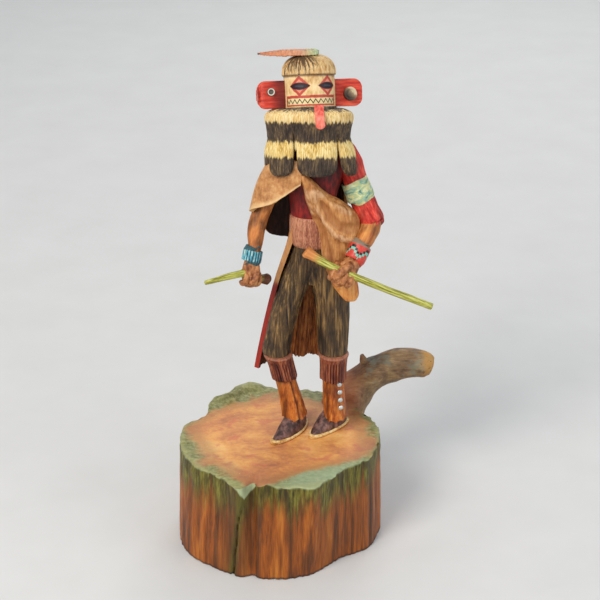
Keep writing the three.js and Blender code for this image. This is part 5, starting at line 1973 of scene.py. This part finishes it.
    def mask_paint(self) -> Paint:
        """Cream, with red diamond eyes, red lines, a band of zigzag teeth and a painted shadow under the
        hair.
        """
        bench = PaintBench("mask_paint")
        places = bench.coordinates(self.setting)
        x, y, height = bench.split(places)
        arc = bench.times(bench.maths("ARCTAN2", x, bench.times(y, -1.0)), self.radius)
        wobble = bench.speckle(places, 0.35, (1, 1, 1), 2, 0.5)
        shake = bench.centred(wobble, 1.6)
        fine = bench.speckle(places, 0.9, (1, 1, 0.4), 4, 0.65)
        cloud = bench.speckle(places, 0.14, (1, 1, 1), 3, 0.5)
        tone = bench.weighted(fine, 0.5, cloud, 0.5)
        colour = bench.ramp(tone, (0.36, (178, 128, 74)), (0.48, (218, 180, 122)), (0.6, (238, 208, 156)))
        level = bench.plus(height, bench.times(shake, 0.35))
        across = bench.plus(arc, bench.times(shake, 0.35))
        paint_red = bench.mix(fine, (156, 46, 36), (204, 86, 64))
        off_level = bench.maths("ABSOLUTE", bench.minus(level, self.eye_level))
        for middle, half in self.eyes:
            off = bench.maths("DIVIDE", bench.maths("ABSOLUTE", bench.minus(across, middle)), half)
            diamond = bench.plus(off, bench.maths("DIVIDE", off_level, self.eye_half_height))
            colour = bench.coat(colour, paint_red, bench.step(diamond, 1.04, 0.92))
            pale = bench.mix(fine, (206, 104, 78), (236, 158, 124))
            colour = bench.coat(colour, pale, bench.step(diamond, 0.68, 0.6))
            bow = bench.minus(1.0, bench.times(off, off))
            lens = bench.minus(off_level, bench.times(bow, 2.0))
            colour = bench.coat(
                colour, (38, 16, 26), bench.times(bench.step(lens, 0.3, -0.3), bench.step(off, 1.0, 0.9))
            )
            core = bench.minus(off_level, bench.times(bow, 0.45))
            colour = bench.coat(
                colour, (58, 56, 66), bench.times(bench.step(core, 0.25, -0.25), bench.step(off, 0.5, 0.3))
            )
        low, high = self.teeth
        first, last = self.mouth_ends
        mouth = bench.within(across, first, last, 0.3)
        lips = bench.times(
            bench.within(level, low - 0.85, high + 1.5, 0.2),
            bench.within(across, first - 0.8, last + 0.8, 0.3),
        )
        colour = bench.coat(colour, paint_red, lips)
        teeth = bench.times(bench.within(level, low, high, 0.18), mouth)
        ivory = bench.mix(fine, (204, 172, 112), (242, 224, 172))
        colour = bench.coat(colour, ivory, teeth)
        zigzag = bench.minus(
            bench.maths("PINGPONG", bench.plus(across, 40.0), self.tooth_pitch), self.tooth_pitch / 2
        )
        line = bench.minus(level, bench.plus(bench.times(zigzag, 1.45), (low + high) / 2))
        inked = bench.times(bench.within(line, -0.42, 0.42, 0.2), teeth)
        colour = bench.coat(colour, (30, 18, 16), inked)
        for edge in (first, last):
            stroke = bench.times(
                bench.within(across, edge - 0.25, edge + 0.25, 0.15), bench.within(level, low, high, 0.2)
            )
            colour = bench.coat(colour, (70, 30, 22), stroke)
        # Painted shadow: a dark band along the top of the mask, just under the hair.
        under = bench.step(level, self.face - 1.6, self.face - 0.4)
        colour = bench.coat(colour, (70, 34, 20), under, 0.75)
        return bench.done(colour, 0.45, fine, 0.15)

    def hair_paint(self) -> Paint:
        """Tan hair, with dark strands that run out from the crown, painted shade in the strand cuts and
        along its lower edge.
        """
        bench = PaintBench("hair_paint")
        places = bench.coordinates(self.setting)
        x, y, height = bench.split(places)
        dx = bench.minus(x, self.crown[0])
        dy = bench.minus(y, self.crown[1])
        turn = bench.maths("ARCTAN2", dy, dx)
        far = bench.distance(dx, dy)
        drop = bench.minus(self.face + self.hair, height)
        reach = bench.plus(far, drop)
        lane = bench.node("ShaderNodeCombineXYZ")
        bench.feed(lane.inputs["X"], bench.times(turn, 5.0))
        bench.feed(lane.inputs["Y"], bench.times(reach, 0.03))
        streak = bench.speckle(lane.outputs[0], 1.9, (1, 1, 1), 4, 0.7)
        fine = bench.speckle(places, 0.8, (1, 1, 0.4), 4, 0.6)
        tone = bench.weighted(streak, 0.5, fine, 0.5)
        colour = bench.ramp(tone, (0.36, (166, 114, 60)), (0.46, (216, 172, 110)), (0.58, (240, 208, 152)))
        side = bench.step(bench.maths("SINE", bench.plus(turn, 0.6)), 0.3, -0.5)
        near = bench.minus(bench.plus(streak, bench.times(side, 0.07)), bench.times(reach, 0.011))
        dark = bench.step(near, 0.36, 0.43)
        colour = bench.coat(colour, (52, 30, 20), bench.times(dark, side), 0.9)
        # Painted shade in the strand cuts.
        cut = bench.times(bench.maths("POWER", bench.kept("cut"), 1.5), 0.6)
        colour = bench.coat(colour, (84, 48, 26), cut)
        # Painted shade along the hair's lower edge, where it overhangs the mask.
        fringe = bench.step(height, self.face + 0.9, self.face + 0.1)
        colour = bench.coat(colour, (80, 44, 24), fringe, 0.5)
        return bench.done(colour, 0.55, streak, 0.25)

    def ear_paint(self) -> Paint:
        """Brick red brushed along the board, with a painted highlight on its edges, a painted shadow next to
        the mask on the right ear, and painted shade in the grain.
        """
        bench = PaintBench("ear_paint")
        places = bench.coordinates(self.setting)
        x, _, z = bench.split(places)
        grain = bench.speckle(places, 0.8, (0.1, 1, 1), 5, 0.65)
        cloud = bench.speckle(places, 0.14, (0.5, 1, 1), 3, 0.5)
        tone = bench.weighted(grain, 0.65, cloud, 0.35)
        colour = bench.ramp(tone, (0.36, (142, 30, 20)), (0.48, (198, 54, 36)), (0.6, (226, 88, 60)))
        span = bench.maths("ABSOLUTE", x)
        # Painted shadow: the right ear, on the -x side, darkens next to the mask.
        shade = bench.times(bench.step(x, -24.0, -16.0), bench.step(x, 0.0, -2.0))
        colour = bench.coat(colour, (72, 14, 12), shade, 0.8)
        # Painted highlight: the board's top, bottom and outer end are lightened, broken up by the cloud.
        rise = bench.maths("ABSOLUTE", bench.minus(z, self.ear_middle))
        lit_edge = bench.plus(
            bench.step(rise, self.ear_half_height - 0.9, self.ear_half_height),
            bench.step(span, self.radius + self.ear_reach - 1.0, self.radius + self.ear_reach),
        )
        wear_and_highlight = bench.maths("MULTIPLY", bench.times(lit_edge, bench.step(cloud, 0.4, 0.6)), 0.5, clamp=True)
        colour = bench.coat(colour, (232, 136, 112), wear_and_highlight)
        # Painted shade in the grain's low places.
        colour = bench.coat(colour, (92, 14, 12), bench.kept("cut"), 0.3)
        return bench.done(colour, 0.45, grain, 0.25)

    def plug_paint(self, side: int) -> Paint:
        """Grey-brown wood painted with light and shade across its face, or dark wood with a whitish rim
        painted as a highlight.
        """
        bench = PaintBench("plug_left_wood" if side > 0 else "plug_right_wood")
        places = bench.coordinates(self.setting)
        x, _, z = bench.split(places)
        fine = bench.speckle(places, 0.8, (1, 1, 1), 4, 0.6)
        middle = side * (self.radius + self.plug_along)
        dx = bench.minus(x, middle)
        dz = bench.minus(z, self.ear_middle + self.plug_lifts[side > 0])
        if side > 0:
            # Painted light and shade: the face runs from dark low down and towards the mask to pale high up
            # and outwards.
            slope = bench.plus(bench.plus(dx, dz), bench.times(fine, 2.4))
            colour = bench.ramp(
                bench.step(slope, -3.4, 5.6), (0.0, (52, 38, 30)), (0.45, (104, 84, 64)),
                (0.75, (140, 116, 88)), (0.95, (206, 186, 150)),
            )
            return bench.done(colour, 0.5, fine, 0.2)
        far = bench.distance(dx, dz)
        dark = bench.mix(fine, (58, 50, 44), (118, 108, 96))
        # Painted highlight: a whitish ring round the peg's hollowed face.
        colour = bench.mix(bench.within(far, 1.4, 1.95, 0.15), dark, (206, 204, 190))
        return bench.done(colour, 0.4, fine, 0.2)

    def feather_paint(self) -> Paint:
        """A dark tip, orange-pink barbs and a pale green rounded end."""
        bench = PaintBench("feather_paint")
        places = bench.coordinates()
        barb = bench.speckle(places, 0.9, (1, 0.3, 0.3), 4, 0.7)
        along = bench.plus(bench.kept("along"), bench.centred(barb, 0.12))
        colour = bench.ramp(
            along,
            (0.0, (44, 26, 22)),
            (0.06, (120, 66, 44)),
            (0.16, (206, 128, 88)),
            (0.45, (218, 150, 112)),
            (0.6, (214, 158, 126)),
            (0.71, (196, 190, 144)),
            (0.86, (176, 200, 160)),
        )
        wear_and_highlight = bench.mix(barb, (110, 60, 44), (244, 226, 196))
        colour = bench.mix(0.45, colour, wear_and_highlight, "SOFT_LIGHT")
        # Painted shade in the carved hollows of the barbs.
        colour = bench.coat(colour, (110, 66, 50), bench.kept("cut"), 0.4)
        return bench.done(colour, 0.6, barb, 0.4)

    def build(self) -> None:
        """Makes and dresses the head."""
        grey_fur = StreakedPaint(
            "throat_fur", (44, 38, 36), (92, 80, 70), (140, 124, 104), setting=self.setting, grain=1.0,
            draw=0.2, rough=0.7,
        ).make()
        pink = StreakedPaint(
            "tongue_paint", (202, 76, 66), (236, 120, 102), (246, 154, 134), grain=0.5, draw=0.3,
            cut_shade_share=0.3, rough=0.45,
        ).make()
        red = self.ear_paint()
        finish_piece(self.throat(), [grey_fur], Slot.CARVED, "figure", 70)
        finish_piece(self.mask(), [self.mask_paint()], Slot.CARVED, "figure", 60)
        finish_piece(self.cap(), [self.hair_paint()], Slot.CARVED, "figure", 70)
        for side, name in ((-1, "right"), (1, "left")):
            finish_piece(self.ear(side), [red], Slot.EAR, f"ear_{name}", 60)
            finish_piece(self.plug(side), [self.plug_paint(side)], Slot.PLUG, f"ear_plug_{name}", 40)
        finish_piece(self.tongue(), [pink], Slot.TONGUE, "tongue", 60)
        finish_piece(self.feather(), [self.feather_paint()], Slot.FEATHER, "crown_feather", 70)


@dataclass
class Stalks:
    """The two green stalks that the hands hold, each with a flared root."""

    left: tuple[Row, ...] = (
        (14.7, -13.5, 187.9, 2.6), (15.4, -13.6, 187.4, 3.3), (18, -13.9, 186, 2.8),
        (25, -14.8, 181.8, 2.2), (37, -16, 176, 2), (60, -17.4, 166.4, 1.9), (84, -17, 156.2, 1.9),
        (84.4, -17, 156, 1.5),
    )
    right: tuple[Row, ...] = (
        (-6.8, 1.5, 163.8, 2.6), (-7.2, 1.2, 164, 3.3), (-9.4, -0.2, 164.8, 2.7), (-13.5, -3, 167.4, 1.9),
        (-18.5, -6.6, 171.4, 2.1), (-28, -10.6, 171.2, 1.9), (-40.6, -14.9, 169.5, 1.3),
        (-41, -15, 169.4, 0.8),
    )

    def paint(self, name: str, root: tuple[Colour, Colour], ends: tuple[float, float]) -> Paint:
        """Yellow-green with darker lengthwise streaks, coloured at the root, with painted shade in the
        strand cuts.
        """
        bench = PaintBench(name)
        start, end = (self.left[3], self.left[5]) if "left" in name else (self.right[4], self.right[6])
        places = bench.coordinates(Setting.along(start, end))
        streak = bench.speckle(places, 1.1, (1, 1, 0.07), 4, 0.65)
        colour = bench.ramp(streak, (0.36, (98, 96, 34)), (0.48, (166, 162, 62)), (0.6, (206, 204, 112)))
        flare = bench.mix(streak, *root)
        place = bench.plus(bench.kept("along"), bench.centred(streak, 0.1))
        colour = bench.coat(colour, flare, bench.step(place, ends[1], ends[0]))
        # Painted shade in the strand cuts.
        colour = bench.coat(colour, (74, 70, 24), bench.kept("cut"), 0.45)
        return bench.done(colour, 0.45, streak, 0.2)

    def build(self) -> None:
        """Makes and dresses both stalks."""
        looks = (
            ("left", self.left, ((190, 96, 40), (240, 168, 96)), (0.3, 0.42)),
            # Painted shadow: the right stalk's root gets dark browns where the left one's is orange.
            ("right", self.right, ((58, 30, 20), (120, 62, 36)), (0.3, 0.42)),
        )
        for name, rows, root, ends in looks:
            form = Form(f"stalk_{name}_stem", rows, 44, 12, across=(0, 1, 0))
            form.carve_strands(9, 0.2, 81, 0.4, 1.6)
            places = places_of(form.piece)
            bumps = 0.14 * lumps(places, 2.6, (3, 1, 1), 5.0)
            put_back(form.piece, places + normals_of(form.piece) * bumps[:, None])
            keep_values(form.piece, "along", form.along)
            finish_piece(
                form.piece, [self.paint(f"stalk_{name}_paint", root, ends)], Slot.STALK, f"stalk_{name}", 60
            )


# ---------------------------------------------------------------- studio


@dataclass
class Studio:
    """A pale floor, soft lights and the camera, in metres."""

    floor_size: float = 6.0
    lens: float = 100.0
    sensor: float = 36.0
    camera_place: Row = (0.0117, -0.86215, 0.56447)
    camera_dip: float = 25.6

    def floor(self) -> None:
        """A pale matt floor with a faint mottle."""
        clear_selection()
        bpy.ops.mesh.primitive_plane_add(size=self.floor_size)
        floor = bpy.context.object
        floor.name = "studio_floor"
        bench = PaintBench("floor_matt")
        mottle = bench.speckle(bench.coordinates(), 0.02, (1, 1, 1), 3)
        floor.data.materials.append(bench.done(bench.mix(mottle, (206, 204, 200), (216, 214, 211)), 0.9))

    def light(self, name: str, place: Row, target: Row, size: float, power: float, colour: Colour) -> None:
        """One soft square light.

        Args:
            name: The light's name.
            place: Where it stands.
            target: What it points at.
            size: Its side.
            power: Its power in watts.
            colour: Its tint, from 0 to 1.
        """
        lamp = bpy.data.lights.new(name, "AREA")
        lamp.size = size
        lamp.energy = power
        lamp.color = colour
        stand = bpy.data.objects.new(name, lamp)
        stand.location = place
        stand.rotation_euler = (Vector(place) - Vector(target)).to_track_quat("Z", "Y").to_euler()
        bpy.context.scene.collection.objects.link(stand)

    def camera(self) -> None:
        """The camera, a little above the object and looking down at it."""
        lens = bpy.data.cameras.new("camera")
        lens.lens = self.lens
        lens.sensor_width = self.sensor
        lens.clip_end = 20.0
        stand = bpy.data.objects.new("camera", lens)
        stand.location = self.camera_place
        stand.rotation_euler = (math.radians(90 - self.camera_dip), 0, 0)
        bpy.context.scene.collection.objects.link(stand)
        bpy.context.scene.camera = stand

    def build(self) -> None:
        """Sets up the whole studio."""
        world = bpy.data.worlds.new("soft_sky")
        world.use_nodes = True
        sky = world.node_tree.nodes["Background"]
        sky.inputs["Color"].default_value = (0.86, 0.92, 1.0, 1.0)
        sky.inputs["Strength"].default_value = 0.55
        bpy.context.scene.world = world
        middle = (0.01, 0.0, 0.16)
        self.light("key_light", (-0.75, -1.0, 1.25), middle, 0.7, 21.0, (1.0, 0.97, 0.92))
        self.light("fill_light", (1.1, -0.7, 0.6), middle, 0.9, 5.0, (0.9, 0.95, 1.0))
        self.light("back_light", (0.3, 1.2, 1.0), middle, 0.8, 6.0, (1.0, 1.0, 1.0))
        self.floor()
        self.camera()
        bpy.context.scene.view_settings.view_transform = "Standard"


def main() -> None:
    """Builds the doll and its stump, part by part."""
    logging.basicConfig(level=logging.INFO, format="%(name)s: %(message)s")
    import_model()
    Stump().build()
    Footwear(sole_z=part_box("figure")[0].z / MM).build()
    Clothing().build()
    Arms().build()
    Mantle().build()
    Ruff().build()
    Head().build()
    Stalks().build()
    Studio().build()
    bpy.context.view_layer.update()


if __name__ == "__main__":
    main()
